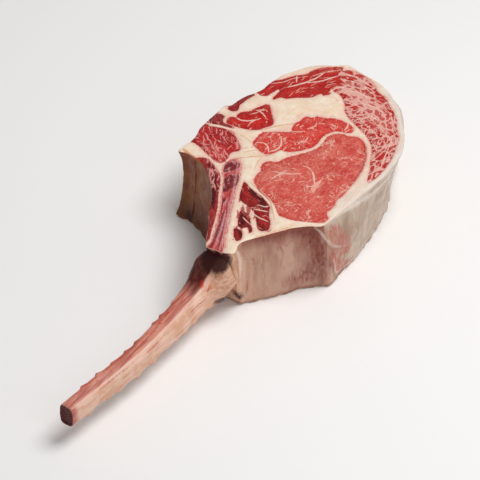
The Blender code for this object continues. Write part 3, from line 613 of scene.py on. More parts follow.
def column_points(index, share):
    """Where the points of columns lie, from the foot at share 0 to the cut face at share 1."""
    low = under[index] + scallop[index]
    height = low + (THICKNESS - low) * share
    rise = height / THICKNESS
    place = plan_places[index] + foot_shift[index] * (1 - rise)[:, None]
    place = place + waist_shift[index] * (4 * rise * (1 - rise))[:, None]
    at_wall = wall_distance[index] < ON_RIM
    at_top = share > 0.999
    radius = rim_radius[index]
    depth_in_roll = math.pi / 4 * np.clip(1 - (THICKNESS - height) / radius, 0, 1)
    foot_inset = (1.2 * RIM_ROUND * np.exp(-(height - low) / FOOT_ROUND)
                  * np.exp(-(wall_distance[index] / FOOT_ROUND_REACH) ** 2))
    wall_inset = radius * (1 - np.cos(depth_in_roll))
    wall_drop = (np.clip(radius * (1 - np.sin(depth_in_roll)) - (THICKNESS - height), 0, None)
                 * (depth_in_roll > 0))
    inset = np.where(at_wall, wall_inset, face_inset[index] * at_top) + foot_inset
    drop = np.where(at_wall, wall_drop, face_drop[index] * at_top)
    place = place - wall_outward[index] * inset[:, None]
    height = height - drop + upper_relief[index] * np.clip(rise, 0, 1) ** 6
    return np.column_stack([place, height]) + ORIGIN_SHIFT


def wall_relief(points, index):
    """Wrinkles, ridges and grooves of the outer wall, faded out at the two rims."""
    drawn = points - ORIGIN_SHIFT
    fade = np.clip(np.minimum(drawn[:, 2], THICKNESS - drawn[:, 2]) / RIM_FADE, 0, 1)
    upright = drawn * (1, 1, 0.3)
    wrinkles = rough(upright, WRINKLE_SIZE) + 0.5 * rough(upright, WRINKLE_SIZE / 2.4, 3.0)
    lumps = rough(drawn * (1, 1, 0.6), 12.0, 6.0) + 0.5 * rough(drawn, 5.0, 2.0)
    amount = fade * (WRINKLE_DEPTH * wrinkles + WALL_LUMPS * lumps - WALL_SINK)
    amount += ridge_relief(drawn, RIDGES + GROOVES) * np.clip(fade * 2, 0, 1)
    return points + np.column_stack([wall_outward[index] * amount[:, None], np.zeros(len(points))])


# %% [markdown]
# ## From triangles to solid pieces
#
# A piece is a prism: its triangles on the cut face, the same ones turned over at the foot, and
# walls between. Walls that show carry many rings of points, and walls inside the steak only four.
# The measured streaks are stored on every point, because a shader can read them there.

# %% Build a closed piece from its triangles
WALL_RINGS = 44           # rows of faces on a wall that shows
SEAM_RINGS = 4            # rows on a wall between two pieces; it divides the other number
# Direction of the grain in the plan, in degrees.
FLOW_ANGLES = {"eye_muscle": -14, "inner_lobe": 10, "wedge_muscle": 35, "back_muscle": 52,
               "back_slip": 60, "chine_strip": 32, "finger_meat_long": 62,
               "finger_meat_middle": 60, "finger_meat_short": 50, "rib_bone": 26}
FLOW_TURN = 60            # millimetres along the grain for each radian of an arc
UNDERCUT = 0.5            # higher than this above the table, the foot of a column shows as skin
CORNER_X, CORNER_LEAN = 18.0, 9.0     # where the chest lining ends at the rim, and how far on below
SPINE_SIDE = np.array((-0.9, 0.43))   # the plan direction that the sawn spine side faces
SHARP_EDGE = 62.0         # edges that turn by more degrees stay sharp
on_wall = wall_distance < 0.3     # points of a border that runs along the outer wall


def flow_coordinates(name, drawn):
    """Millimetres along and across the grain of a muscle, and up."""
    if name in FLOW_CENTRES:
        arm = drawn[:, :2] - FLOW_CENTRES[name]
        radius = np.linalg.norm(arm, axis=1)
        return np.column_stack([np.arctan2(arm[:, 1], arm[:, 0]) * FLOW_TURN, radius, drawn[:, 2]])
    angle = math.radians(FLOW_ANGLES.get(name, 0))
    along = drawn[:, 0] * math.cos(angle) + drawn[:, 1] * math.sin(angle)
    across = drawn[:, 1] * math.cos(angle) - drawn[:, 0] * math.sin(angle)
    return np.column_stack([along, across, drawn[:, 2]])


def store(mesh, name, values):
    """Keep one number or vector for each point of a mesh."""
    kind = "FLOAT_VECTOR" if values.ndim == 2 else "FLOAT"
    layer = mesh.attributes.new(name, kind, "POINT")
    value_name = "vector" if values.ndim == 2 else "value"
    layer.data.foreach_set(value_name, values.astype(np.float32).ravel())


def paint_fields(mesh, name, index, at_face, drawn):
    """Store what the shaders need: borders, streaks, grain and regions of the wall."""
    away = np.full(len(index), -FIELD_LIMIT)
    store(mesh, "border", (meat_distance if name == "fat_body" else edge_distance)[index])
    face_dark = shreds if name == "fat_body" else dark
    for label, field, wall_lines in (
            ("pale", pale, WALL_PALE_AND_HIGHLIGHTS), ("amber", amber, WALL_VEINS + RIM_THREADS),
            ("dark", face_dark, NECK_DARK_AND_SHADOW + SPINE_FOOT_DARK), ("violet", violet, [])):
        on_wall_field = streak_field(drawn, wall_lines) if wall_lines else away
        store(mesh, label, np.where(at_face, field[index], on_wall_field))
    store(mesh, "strand", np.where(at_face, strand[index], away))
    store(mesh, "raw", np.where(at_face, cloud[index], streak_field(drawn, WALL_RAW)))
    store(mesh, "flow", flow_coordinates(name, drawn))
    x, y = drawn[:, 0], drawn[:, 1]
    faces_spine = wall_outward[index] @ SPINE_SIDE
    chine = (np.clip((faces_spine - 0.5) / 0.2, 0, 1) * np.clip((x + 46) / 6, 0, 1)
             * np.clip((33 - x) / 2, 0, 1))
    corner_x = CORNER_X + CORNER_LEAN * (1 - drawn[:, 2] / THICKNESS)
    pleura = np.clip((-y - 12) / 5, 0, 1) * np.clip((corner_x - x) / 1.6, 0, 1)
    store(mesh, "neck", np.clip((-28 - x) / 6, 0, 1))
    store(mesh, "chine", chine)
    # Where the fat cover rolls over the rim. The fat there takes more gloss and a painted
    # highlight.
    store(mesh, "rolled", (roll_side * np.exp(-(wall_distance / 9.0) ** 2))[index])
    store(mesh, "pleura", pleura)


def crowded(share):
    """A share of the height that packs the rows closer near the two rims."""
    return share - 0.1 * math.sin(2 * math.pi * share)


def part_of(ladder, rung, rungs):
    """The points of a column that one face of the wall needs, both ends included."""
    steps = len(ladder) - 1
    return ladder[rung * steps // rungs:(rung + 1) * steps // rungs + 1]


def build_piece(name, triangles):
    """A closed prism on these triangles, with its fields stored and its skin marked."""
    used = np.unique(triangles)
    local = np.full(len(plan_points), -1)
    local[used] = np.arange(len(used))
    count = len(used)
    directed = {(a, b) for tri in triangles for a, b in zip(tri, np.roll(tri, -1))}
    rim = [(a, b) for a, b in directed if (b, a) not in directed]
    showing = [(a, b) for a, b in rim if on_wall[a] and on_wall[b]]
    shown = {vertex for edge in showing for vertex in edge}
    rows = {vertex: WALL_RINGS if vertex in shown else SEAM_RINGS
            for edge in rim for vertex in edge}

    columns = list(used) + list(used)
    shares = [0.0] * count + [1.0] * count
    ladders = {}
    for vertex, steps in rows.items():
        start = len(columns)
        columns += [vertex] * (steps - 1)
        shares += [crowded(step / steps) for step in range(1, steps)]
        ladders[vertex] = [local[vertex], *range(start, start + steps - 1), local[vertex] + count]
    columns, shares = np.array(columns), np.array(shares)
    points = column_points(columns, shares)
    walls = np.array([vertex in shown for vertex in columns])
    if walls.any():
        points[walls] = wall_relief(points[walls], columns[walls])

    upper = local[triangles] + count
    faces = [tuple(face) for face in upper] + [tuple(face[::-1]) for face in local[triangles]]
    skin = [False] * len(upper) + list(under[triangles].mean(axis=1) > UNDERCUT)
    smooth = [True] * len(faces)
    for a, b in rim:
        seen = on_wall[a] and on_wall[b]
        rungs = WALL_RINGS if seen else SEAM_RINGS
        left, right = ladders[a], ladders[b]
        for rung in range(rungs):
            left_part, right_part = part_of(left, rung, rungs), part_of(right, rung, rungs)
            faces.append((*left_part[::-1], *right_part))
            skin.append(True)
            smooth.append(seen)     # hidden walls stay flat, so they don't bend the shading

    mesh = bpy.data.meshes.new(name + "_fine")
    mesh.from_pydata((points * MM).tolist(), [], [[int(i) for i in face] for face in faces])
    mesh.polygons.foreach_set("use_smooth", smooth)
    mesh.set_sharp_from_angle(angle=math.radians(SHARP_EDGE))
    piece = bpy.data.objects.new(name + "_fine", mesh)
    bpy.context.scene.collection.objects.link(piece)
    mesh.polygons.foreach_set("material_index", np.array(skin, dtype=np.int32))
    at_face = (shares == 1.0) | ((shares == 0.0) & (under[columns] <= UNDERCUT))
    paint_fields(mesh, name, columns, at_face, points - ORIGIN_SHIFT)
    return piece


pieces = {}
for name in ["fat_body", *borders]:
    pieces[name] = build_piece(name, plan_faces[owner == name])
    print(name, "faces:", len(pieces[name].data.polygons))

# %% [markdown]
# ## The trimmed rib
#
# Butchers scrape the rib clean and leave it long, as a handle. It is a loft: one rounded
# rectangle after another along the bone, from the head inside the steak to the sawn tip. A second
# set of smaller rings closes the tip, so that the spongy core can sink a little below the hard
# rim. Lofting gives full control over each section, which a bent cylinder wouldn't.

# %% Loft the rib from its sections: x, y, z, width, height
RIB_STATIONS = [
    (-30, -5.5, 32, 11, 36), (-40, -7.5, 33.5, 15, 43), (-45, -6.5, 33.5, 21, 43),
    (-49, -4.8, 30.5, 22, 38), (-53, -3.6, 27.5, 21, 31), (-60, -3.6, 25.5, 18.5, 26),
    (-72, -4.2, 25.2, 16.5, 24), (-88, -5, 25.2, 14.2, 23.5), (-110, -4.8, 25.2, 13, 23),
    (-135, -4.2, 25.2, 12.4, 22.5), (-160, -1.4, 25.2, 11.8, 21.5), (-185, 2.2, 25.2, 11.4, 20.5),
    (-206, 5, 25.2, 11.4, 20.5),
]
RIB_STEP = 0.8            # spacing of the sections
RIB_SIDES = 96            # points round a section
RIB_SQUARENESS = 3.4      # 2 is an ellipse, more is squarer
RIB_TILT_ROOT = 10.0      # lean of the section at the root, in degrees, none at the tip
RIB_TOP_SLOPE = 3.6       # how much lower the top side lies at its near edge
RIB_UNEVEN = 0.03         # scraped unevenness, as a share of the section's size
NECK_FLARE = 8.0          # how far the neck spreads towards the chest wall
CORE_RINGS = 9            # rings that close the sawn tip
CORE_DEPTH = 0.8          # how far the spongy core sinks
TIP_EDGE = 0.6            # how far the rim of the tip stands out
LOWER_EDGE, UPPER_EDGE, RIDGE_EDGE = 236, 56, 124     # where shreds and ridge run, in degrees round
EDGE_SPREAD, RIDGE_SPREAD = 16, 13
RIDGE_RISE = 0.4
# Shreds left by the knife along two edges: x and height.
LOWER_SCRAPS = [(-57, 1.2), (-67, 0.8), (-77, 1.6), (-88, 1.8), (-97, 1.2), (-107, 0.6),
                (-125, 2.4), (-143, 2.2), (-160, 1.0), (-172, 0.7), (-191, 2.0)]
UPPER_SCRAPS = [(-84, 0.7), (-100, 1.3), (-109, 1.2), (-131, 0.9), (-142, 0.9), (-156, 0.7),
                (-171, 1.4), (-186, 1.3)]
RIB_SPOTS = [             # clots on the bone: half width and corners
    (1.3, [(-113.5, -4.5, 35.2), (-119.0, -4.2, 35.2)]),
    (0.9, [(-104, -3.4, 35.3), (-108.5, -3.9, 35.3)]),
    (0.8, [(-125.5, -3.3, 35.4), (-129, -3.6, 35.4)]),
    (1.0, [(-160, -1.6, 34.9), (-164, -1.1, 34.9)]),
    (0.8, [(-173, 1.0, 34.5), (-176.5, 1.4, 34.5)]),
    (0.8, [(-140, -5.2, 35.0), (-146, -5.0, 35.0)]), (1.3, [(-58, -6.5, 38.5), (-63, -8.4, 36.5)]),
    (0.9, [(-56, -12.5, 36), (-60, -12, 33)]), (0.7, [(-90, -2.6, 35.6), (-98, -3.0, 35.6)]),
    (0.7, [(-148, 0.4, 35.0), (-153, 0.8, 35.0)]),
]
RIB_RED_LINES = [         # thin red streaks along the bone
    (0.8, [(-66, -9.5, 35.4), (-76.9, -9.9, 34.1), (-86.7, -10.4, 33.6), (-96.1, -10.6, 32.8)]),
    (0.5, [(-106, -10.6, 31.5), (-122, -10.4, 30.5), (-136, -9.9, 31.0)]),
    (0.6, [(-150, -7.6, 31.0), (-168, -5.4, 31.5), (-184, -3.2, 31.0)]),
    (0.5, [(-128, -10.4, 16.0), (-150, -8.2, 15.5), (-175, -5.0, 15.0), (-196, -2.4, 15.2)]),
    (0.5, [(-72, -3.0, 36), (-90, -2.6, 35), (-110, -2.0, 35), (-128, -1.0, 35)]),
    (0.6, [(-140, -1.5, 34.5), (-160, 1.5, 34), (-180, 4.2, 34), (-198, 6.0, 34)]),
    (0.6, [(-58, -11.8, 28.0), (-70, -12.0, 28.6), (-84, -11.2, 28.5)]),
]
# Amber patches on the near side of the bone.
RIB_AMBER = [(1.2, [(-75, -12.4, 22), (-80, -12.4, 21)]),
             (2.0, [(-66, -12.7, 17), (-76, -12.5, 15), (-86, -12.2, 14.5)]),
             (1.4, [(-118, -11.6, 20), (-126, -11.2, 19)])]


def smoothed(values, width):
    """A running mean that leaves the two ends where they are."""
    padded = np.concatenate([np.full(width, values[0]), values, np.full(width, values[-1])])
    return np.convolve(padded, np.ones(2 * width + 1) / (2 * width + 1), mode="valid")


def scrap_height(x, scraps):
    """Height of shreds at x: each is steep on the side of the tip and fades towards the meat."""
    height = np.full(len(x), -0.3)
    for place, peak in scraps:
        offset = x - place
        towards_tip = np.clip(1 + offset / 1.4, 0, 1)
        shape = np.where(offset < 0, towards_tip, np.clip(1 - offset / 7.5, 0, 1) ** 1.3)
        height = np.maximum(height, peak * shape - 0.3 * (1 - shape))
    return height


stations = np.array(RIB_STATIONS, float)
sections = np.arange(stations[0, 0], stations[-1, 0] - TIP_EDGE, -RIB_STEP)
rib_spans = [smoothed(np.interp(-sections, -stations[:, 0], stations[:, column]), 3)
             for column in range(1, 5)]
angles = np.linspace(0, 2 * math.pi, RIB_SIDES, endpoint=False)
cosine, sine = np.cos(angles), np.sin(angles)
power = 2 / RIB_SQUARENESS
across_unit = np.sign(cosine) * np.abs(cosine) ** power
up_unit = np.sign(sine) * np.abs(sine) ** power
near_share = (1 - across_unit) / 2

rib_points = []
for x, y, z, width, height in zip(sections, *rib_spans):
    share = (x - stations[0, 0]) / (stations[-1, 0] - stations[0, 0])
    tilt = math.radians(RIB_TILT_ROOT * max(0.0, 1 - share))
    uneven = 1 + RIB_UNEVEN * (np.sin(3 * angles + x / 9) + np.sin(2 * angles - x / 14)) / 2
    across, up = across_unit * width / 2 * uneven, up_unit * height / 2 * uneven
    up -= RIB_TOP_SLOPE * np.clip(up_unit, 0, 1) * near_share * np.clip((-x - 52) / 14, 0, 1)
    flare = (NECK_FLARE * np.clip((x + 62) / 24, 0, 1) ** 1.4 * near_share**2
             * np.clip((z + up - 18) / 10, 0, 1))
    ring = np.column_stack([np.full(RIB_SIDES, x),
                            y + across * math.cos(tilt) + up * math.sin(tilt) - flare,
                            z - across * math.sin(tilt) + up * math.cos(tilt)])
    rib_points.append(ring)
tip_ring = rib_points[-1]
for ring_number in range(1, CORE_RINGS):
    scale = 1 - ring_number / CORE_RINGS
    sink = CORE_DEPTH * min(1.0, (1 - scale) * 3)
    middle = tip_ring.mean(axis=0)
    ring = middle + (tip_ring - middle) * scale
    ring[:, 0] = tip_ring[:, 0] - TIP_EDGE * (ring_number == 1) + sink * (ring_number > 1)
    rib_points.append(ring)
rib_points = np.vstack(rib_points)
is_core = np.arange(len(rib_points)) >= len(sections) * RIB_SIDES
round_angle = np.tile(np.degrees(angles), len(rib_points) // RIB_SIDES)

centre_line = np.column_stack([np.interp(-rib_points[:, 0], -stations[:, 0], stations[:, column])
                               for column in (1, 2)])
radial = np.column_stack([np.zeros(len(rib_points)), rib_points[:, 1:] - centre_line])
radial /= np.maximum(np.linalg.norm(radial, axis=1), 1e-6)[:, None]
scrape = (0.2 * rough(rib_points * (0.22, 1, 1), 2.4, 2.0)
          + 0.35 * rough(rib_points * (0.5, 1, 1), 7.0, 5.0))
neck_share = np.clip((rib_points[:, 0] + 66) / 12, 0, 1)
lumps = 0.5 * neck_share * rough(rib_points, 6.0, 8.0)
beyond_neck = np.clip((-rib_points[:, 0] - 50) / 5, 0, 1)
lower_scraps, upper_scraps = [
    scrap_height(rib_points[:, 0], scraps) * np.exp(-((round_angle - edge) / EDGE_SPREAD) ** 2)
    for scraps, edge in ((LOWER_SCRAPS, LOWER_EDGE), (UPPER_SCRAPS, UPPER_EDGE))]
scraps = (lower_scraps + upper_scraps) * beyond_neck
ridge = np.exp(-((round_angle - RIDGE_EDGE) / RIDGE_SPREAD) ** 2) * beyond_neck
rib_relief = np.where(is_core, 0, scrape + lumps + scraps + RIDGE_RISE * ridge - 0.3)
rib_points = rib_points + radial * rib_relief[:, None]
rib_points[is_core, 0] += 0.35 * rough(rib_points[is_core], 1.6, 7.0)

ring_count = len(rib_points) // RIB_SIDES
rib_faces = [(start + side, start + RIB_SIDES + side,
              start + RIB_SIDES + (side + 1) % RIB_SIDES, start + (side + 1) % RIB_SIDES)
             for start in range(0, (ring_count - 1) * RIB_SIDES, RIB_SIDES)
             for side in range(RIB_SIDES)]
rib_faces.append(tuple(range(RIB_SIDES)))
rib_faces.append(tuple(range((ring_count - 1) * RIB_SIDES, ring_count * RIB_SIDES))[::-1])
rib_mesh = bpy.data.meshes.new("rib_handle")
rib_mesh.from_pydata(((rib_points + ORIGIN_SHIFT) * MM).tolist(), [], rib_faces)
fixer = bmesh.new()
fixer.from_mesh(rib_mesh)
bmesh.ops.recalc_face_normals(fixer, faces=fixer.faces)
fixer.to_mesh(rib_mesh)
fixer.free()
rib_mesh.shade_smooth()
rib_mesh.set_sharp_from_angle(angle=math.radians(58))
rib_handle = bpy.data.objects.new("rib_handle", rib_mesh)
bpy.context.scene.collection.objects.link(rib_handle)

# The band (upper and far side) is painted redder and darker, partly its own membrane and partly
# painted shade. The ridge also takes a painted highlight.
top_side = np.clip((118 - round_angle) / 8, 0, 1) * np.clip((round_angle + 30) / 20, 0, 1)
far_side = np.clip((round_angle - 300) / 20, 0, 1)
tip_red = np.clip((-rib_points[:, 0] - 200) / 4, 0, 1) * np.clip((round_angle - 100) / 30, 0, 1)
liver = top_side * np.clip((rib_points[:, 0] + 76) / 16, 0, 1)
for label, share in (("band", np.maximum(top_side, far_side)), ("liver", liver), ("ridge", ridge),
                     ("tip_red", tip_red)):
    store(rib_mesh, label, np.where(is_core, 0, share))
store(rib_mesh, "neck", np.clip((rib_points[:, 0] + 60) / 10, 0, 1))
store(rib_mesh, "core", is_core.astype(float))
for label, lines in (("dark", NECK_DARK_AND_SHADOW), ("raw", RIB_SPOTS), ("amber", RIB_AMBER),
                     ("pale", RIB_RED_LINES)):
    store(rib_mesh, label, streak_field(rib_points, lines))
print("rib handle faces:", len(rib_mesh.polygons))

# %% [markdown]
# ## A short way to write shader nodes
#
# Shader trees get long when every node takes four lines, so one small class adds a node, fills its
# sockets and links whatever is already a socket. Colours are written as the eye sees them, from 0
# to 255, and turned into the linear values that Blender computes with.

# %% Node helper and colours
class Wiring:
    """Adds nodes to one node tree and joins them."""

    def __init__(self, tree):
        self.tree = tree

    def add(self, kind, inputs=(), **settings):
        node = self.tree.nodes.new(kind)
        for label, value in settings.items():
            setattr(node, label, value)
        for label, value in dict(inputs).items():
            self.feed(node.inputs[label], value)
        return node

    def feed(self, socket, value):
        if isinstance(value, bpy.types.NodeSocket):
            self.tree.links.new(value, socket)
        else:
            socket.default_value = value

    def math(self, operation, *values):
        node = self.add("ShaderNodeMath", enumerate(values), operation=operation)
        return node.outputs[0]

    def times(self, first, second):
        return self.math("MULTIPLY", first, second)

    def plus(self, first, second):
        return self.math("ADD", first, second)

    def minus(self, first, second):
        return self.math("SUBTRACT", first, second)

    def times_plus(self, value, factor, extra):
        return self.math("MULTIPLY_ADD", value, factor, extra)

    def from_middle(self, value):
        """How far a value lies from one half, which turns noise into winding lines."""
        return self.math("ABSOLUTE", self.minus(value, 0.5))

    def vector(self, operation, *values):
        node = self.add("ShaderNodeVectorMath", enumerate(values), operation=operation)
        return node.outputs[0]

    def noise(self, place, scale, detail=2.0, distortion=0.0):
        node = self.add("ShaderNodeTexNoise", {"Vector": place, "Scale": scale, "Detail": detail,
                                               "Distortion": distortion})
        return node.outputs["Fac"]

    def step(self, value, low, high):
        """0 below low and 1 above high, with a smooth change between."""
        inputs = {"Value": value, "From Min": low, "From Max": high}
        node = self.add("ShaderNodeMapRange", inputs, interpolation_type="SMOOTHSTEP")
        return node.outputs["Result"]

    def blend(self, share, first, second):
        node = self.add("ShaderNodeMix", data_type="RGBA")
        for position, value in ((0, share), (6, first), (7, second)):
            self.feed(node.inputs[position], value)
        return node.outputs[2]

    def tint(self, colour, share, amount, coat):
        """Lay a coat over a colour by a share, and never more than by the amount."""
        return self.blend(self.times(share, amount), colour, coat)

    def tints(self, colour, *coats):
        """Lay several coats, one over the other: share, amount and coat."""
        for coat in coats:
            colour = self.tint(colour, *coat)
        return colour

    def stored(self, label, output="Fac"):
        return self.add("ShaderNodeAttribute", attribute_name=label).outputs[output]

    def group(self, tree, **inputs):
        node = self.add("ShaderNodeGroup", node_tree=tree)
        for label, value in inputs.items():
            self.feed(node.inputs[label], value)
        return node

    def mask(self, tree, **inputs):
        return self.group(tree, **inputs).outputs["Mask"]


def rgb(red, green, blue):
    """A colour as the eye sees it, from 0 to 255, as linear values."""
    parts = [part / 255 for part in (red, green, blue)]
    linear = [part / 12.92 if part <= 0.04045 else ((part + 0.055) / 1.055) ** 2.4
              for part in parts]
    return (*linear, 1.0)


def new_group(name, inputs, outputs):
    """An empty node group with named sockets, and its wiring."""
    tree = bpy.data.node_groups.new(name, "ShaderNodeTree")
    for label, kind in inputs.items():
        tree.interface.new_socket(name=label, in_out="INPUT", socket_type="NodeSocket" + kind)
    for label, kind in outputs.items():
        tree.interface.new_socket(name=label, in_out="OUTPUT", socket_type="NodeSocket" + kind)
    wire = Wiring(tree)
    return tree, wire, wire.add("NodeGroupInput"), wire.add("NodeGroupOutput")


# %% [markdown]
# ## Shared effects
#
# Six effects come back in several materials. *Torn edge* turns the stored depth of a streak into
# a mask whose edge wanders a little. *Marbling* draws thin winding strands along the grain of the
# muscle. *Web* draws a net of fat round islands of meat. *Flecks* scatters short specks of fat.
# *Fibre* gives the fine bundles of muscle. *Moist film* varies the gloss. They are node groups, so
# each material only sets their numbers.

# %% Torn edge, marbling, web, flecks, fibre and moist film
def grain_space(wire, given, stretch=(1.0, 1.0, 1.0)):
    """The place along the grain, stretched, in units of the pattern's size."""
    size = wire.add("ShaderNodeCombineXYZ", dict.fromkeys("XYZ", given.outputs["Size"])).outputs[0]
    return wire.vector("DIVIDE", wire.vector("MULTIPLY", given.outputs["Flow"], stretch), size)


def patches(wire, place, scale, amount):
    """A mask that covers about this share of the surface in soft patches."""
    low = wire.minus(1.0, amount)
    areas = wire.noise(wire.vector("ADD", place, (17.0, 5.0, 3.0)), scale, 1.0)
    return wire.step(areas, low, wire.plus(low, 0.12))


strand_inputs = {"Flow": "Vector", "Size": "Float", "Stretch": "Vector", "Thickness": "Float",
                 "Amount": "Float"}

torn_edge, wire, given, made = new_group(
    "Torn edge", {"Depth": "Float", "Place": "Vector", "Wander": "Float", "Softness": "Float"},
    {"Mask": "Float"})
ragged = wire.noise(given.outputs["Place"], 0.5, 3.0, 0.4)
wander = wire.times(wire.minus(ragged, 0.5), wire.times(given.outputs["Wander"], 3.0))
depth = wire.plus(given.outputs["Depth"], wander)
wire.feed(made.inputs["Mask"], wire.step(depth, wire.times(given.outputs["Softness"], -1.0),
                                         given.outputs["Softness"]))

marbling, wire, given, made = new_group("Marbling", strand_inputs, {"Mask": "Float"})
scaled = grain_space(wire, given, given.outputs["Stretch"])
winding = wire.from_middle(wire.noise(scaled, 1.0, 3.0, 0.9))
thin = wire.step(winding, given.outputs["Thickness"], wire.times(given.outputs["Thickness"], 0.35))
covered = patches(wire, scaled, 0.8, given.outputs["Amount"])
wire.feed(made.inputs["Mask"], wire.times(thin, covered))

web, wire, given, made = new_group("Web", strand_inputs, {"Mask": "Float"})
scaled = grain_space(wire, given, given.outputs["Stretch"])
bend = wire.add("ShaderNodeTexNoise", {"Vector": scaled, "Scale": 1.1, "Detail": 3.0})
bend = wire.vector("SUBTRACT", bend.outputs["Color"], (0.5, 0.5, 0.5))
bend = wire.vector("MULTIPLY", bend, (1.5, 1.5, 1.5))
cells = wire.add("ShaderNodeTexVoronoi", {"Vector": wire.vector("ADD", scaled, bend), "Scale": 1.0},
                 feature="DISTANCE_TO_EDGE").outputs["Distance"]
width = wire.times(given.outputs["Thickness"], wire.times(2.0, wire.noise(scaled, 0.55, 2.0)))
strands = wire.step(cells, width, wire.times(width, 0.55))
covered = patches(wire, scaled, 0.5, given.outputs["Amount"])
wire.feed(made.inputs["Mask"], wire.times(strands, covered))

flecks, wire, given, made = new_group(
    "Flecks", {"Flow": "Vector", "Size": "Float", "Stretch": "Vector", "Level": "Float"},
    {"Mask": "Float"})
specks = wire.noise(grain_space(wire, given, given.outputs["Stretch"]), 1.0, 2.0, 0.3)
wire.feed(made.inputs["Mask"], wire.step(specks, given.outputs["Level"],
                                         wire.plus(given.outputs["Level"], 0.05)))

fibre, wire, given, made = new_group(
    "Fibre", {"Flow": "Vector", "Size": "Float"}, {"Grain": "Float", "Height": "Float"})
grain = grain_space(wire, given, (0.55, 1.0, 0.3))
bundles = wire.add("ShaderNodeTexVoronoi", {"Vector": grain, "Scale": 1.0}).outputs["Distance"]
fine = wire.noise(wire.vector("MULTIPLY", given.outputs["Flow"], (0.55, 1.0, 0.3)), 1.4, 3.0)
wire.feed(made.inputs["Grain"], wire.times(wire.plus(bundles, fine), 0.5))
wire.feed(made.inputs["Height"], wire.minus(fine, wire.times(bundles, 0.6)))

moist_film, wire, given, made = new_group(
    "Moist film", {"Place": "Vector", "Wettest": "Float", "Driest": "Float"},
    {"Roughness": "Float"})
film = wire.step(wire.noise(given.outputs["Place"], 0.16, 3.0), 0.35, 0.65)
spread = wire.minus(given.outputs["Driest"], given.outputs["Wettest"])
wire.feed(made.inputs["Roughness"], wire.times_plus(film, spread, given.outputs["Wettest"]))
print("node groups:", [tree.name for tree in bpy.data.node_groups])

# %% [markdown]
# ## Fat, meat and their borders
#
# Raw meat is never one red. Each muscle mixes a lighter and a deeper red over its face, with fine
# pale bundles, then strands of marbling, then the drawn seams. Along a border the fat creeps into
# the meat by a fraction of a millimetre, which hides the hard line where two meshes meet.

# %% Meat materials
MARBLE = rgb(236, 178, 164)
SEAM_WHITE = rgb(242, 200, 184)
AMBER = rgb(206, 84, 46)
MAROON = rgb(76, 8, 12)
BUMP_DISTANCE = 0.0006    # metres
COAT_ROUGHNESS = 0.25
FLAT_GRAIN = (0.35, 1.0, 0.3)     # strands run three times as far along the grain as across


def begin(name):
    """A new material, its wiring and its shader."""
    material = bpy.data.materials.new(name)
    material.use_nodes = True
    wire = Wiring(material.node_tree)
    return material, wire, material.node_tree.nodes["Principled BSDF"]


def torn(wire, depth, place, wander, softness):
    """A mask with a ragged edge where a depth is above zero."""
    return wire.mask(torn_edge, Depth=depth, Place=place, Wander=wander, Softness=softness)


def streak_mask(wire, label, place, wander, softness, shift=0.0):
    """The same for the stored depth of a streak, moved by a shift."""
    return torn(wire, wire.plus(wire.stored(label), shift), place, wander, softness)


def paint_streaks(wire, colour, place, *streaks):
    """Lay coats over stored streaks: label, coat, amount, wander, softness and maybe a shift."""
    for label, coat, amount, *edge in streaks:
        colour = wire.tint(colour, streak_mask(wire, label, place, *edge), amount, coat)
    return colour


def finish_surface(wire, shader, colour, height, place, wettest, driest, strength=0.5,
                   shine=0.35, coat=None):
    """Plug colour, gloss and relief into the shader."""
    film = wire.group(moist_film, Place=place, Wettest=wettest, Driest=driest)
    bump = wire.add("ShaderNodeBump", {"Height": height, "Distance": BUMP_DISTANCE,
                                       "Strength": strength})
    wire.feed(shader.inputs["Base Color"], colour)
    wire.feed(shader.inputs["Roughness"], film.outputs["Roughness"])
    wire.feed(shader.inputs["Normal"], bump.outputs["Normal"])
    shader.inputs["Specular IOR Level"].default_value = shine
    wire.feed(shader.inputs["Coat Weight"], 0.3 * shine if coat is None else coat)
    shader.inputs["Coat Roughness"].default_value = COAT_ROUGHNESS


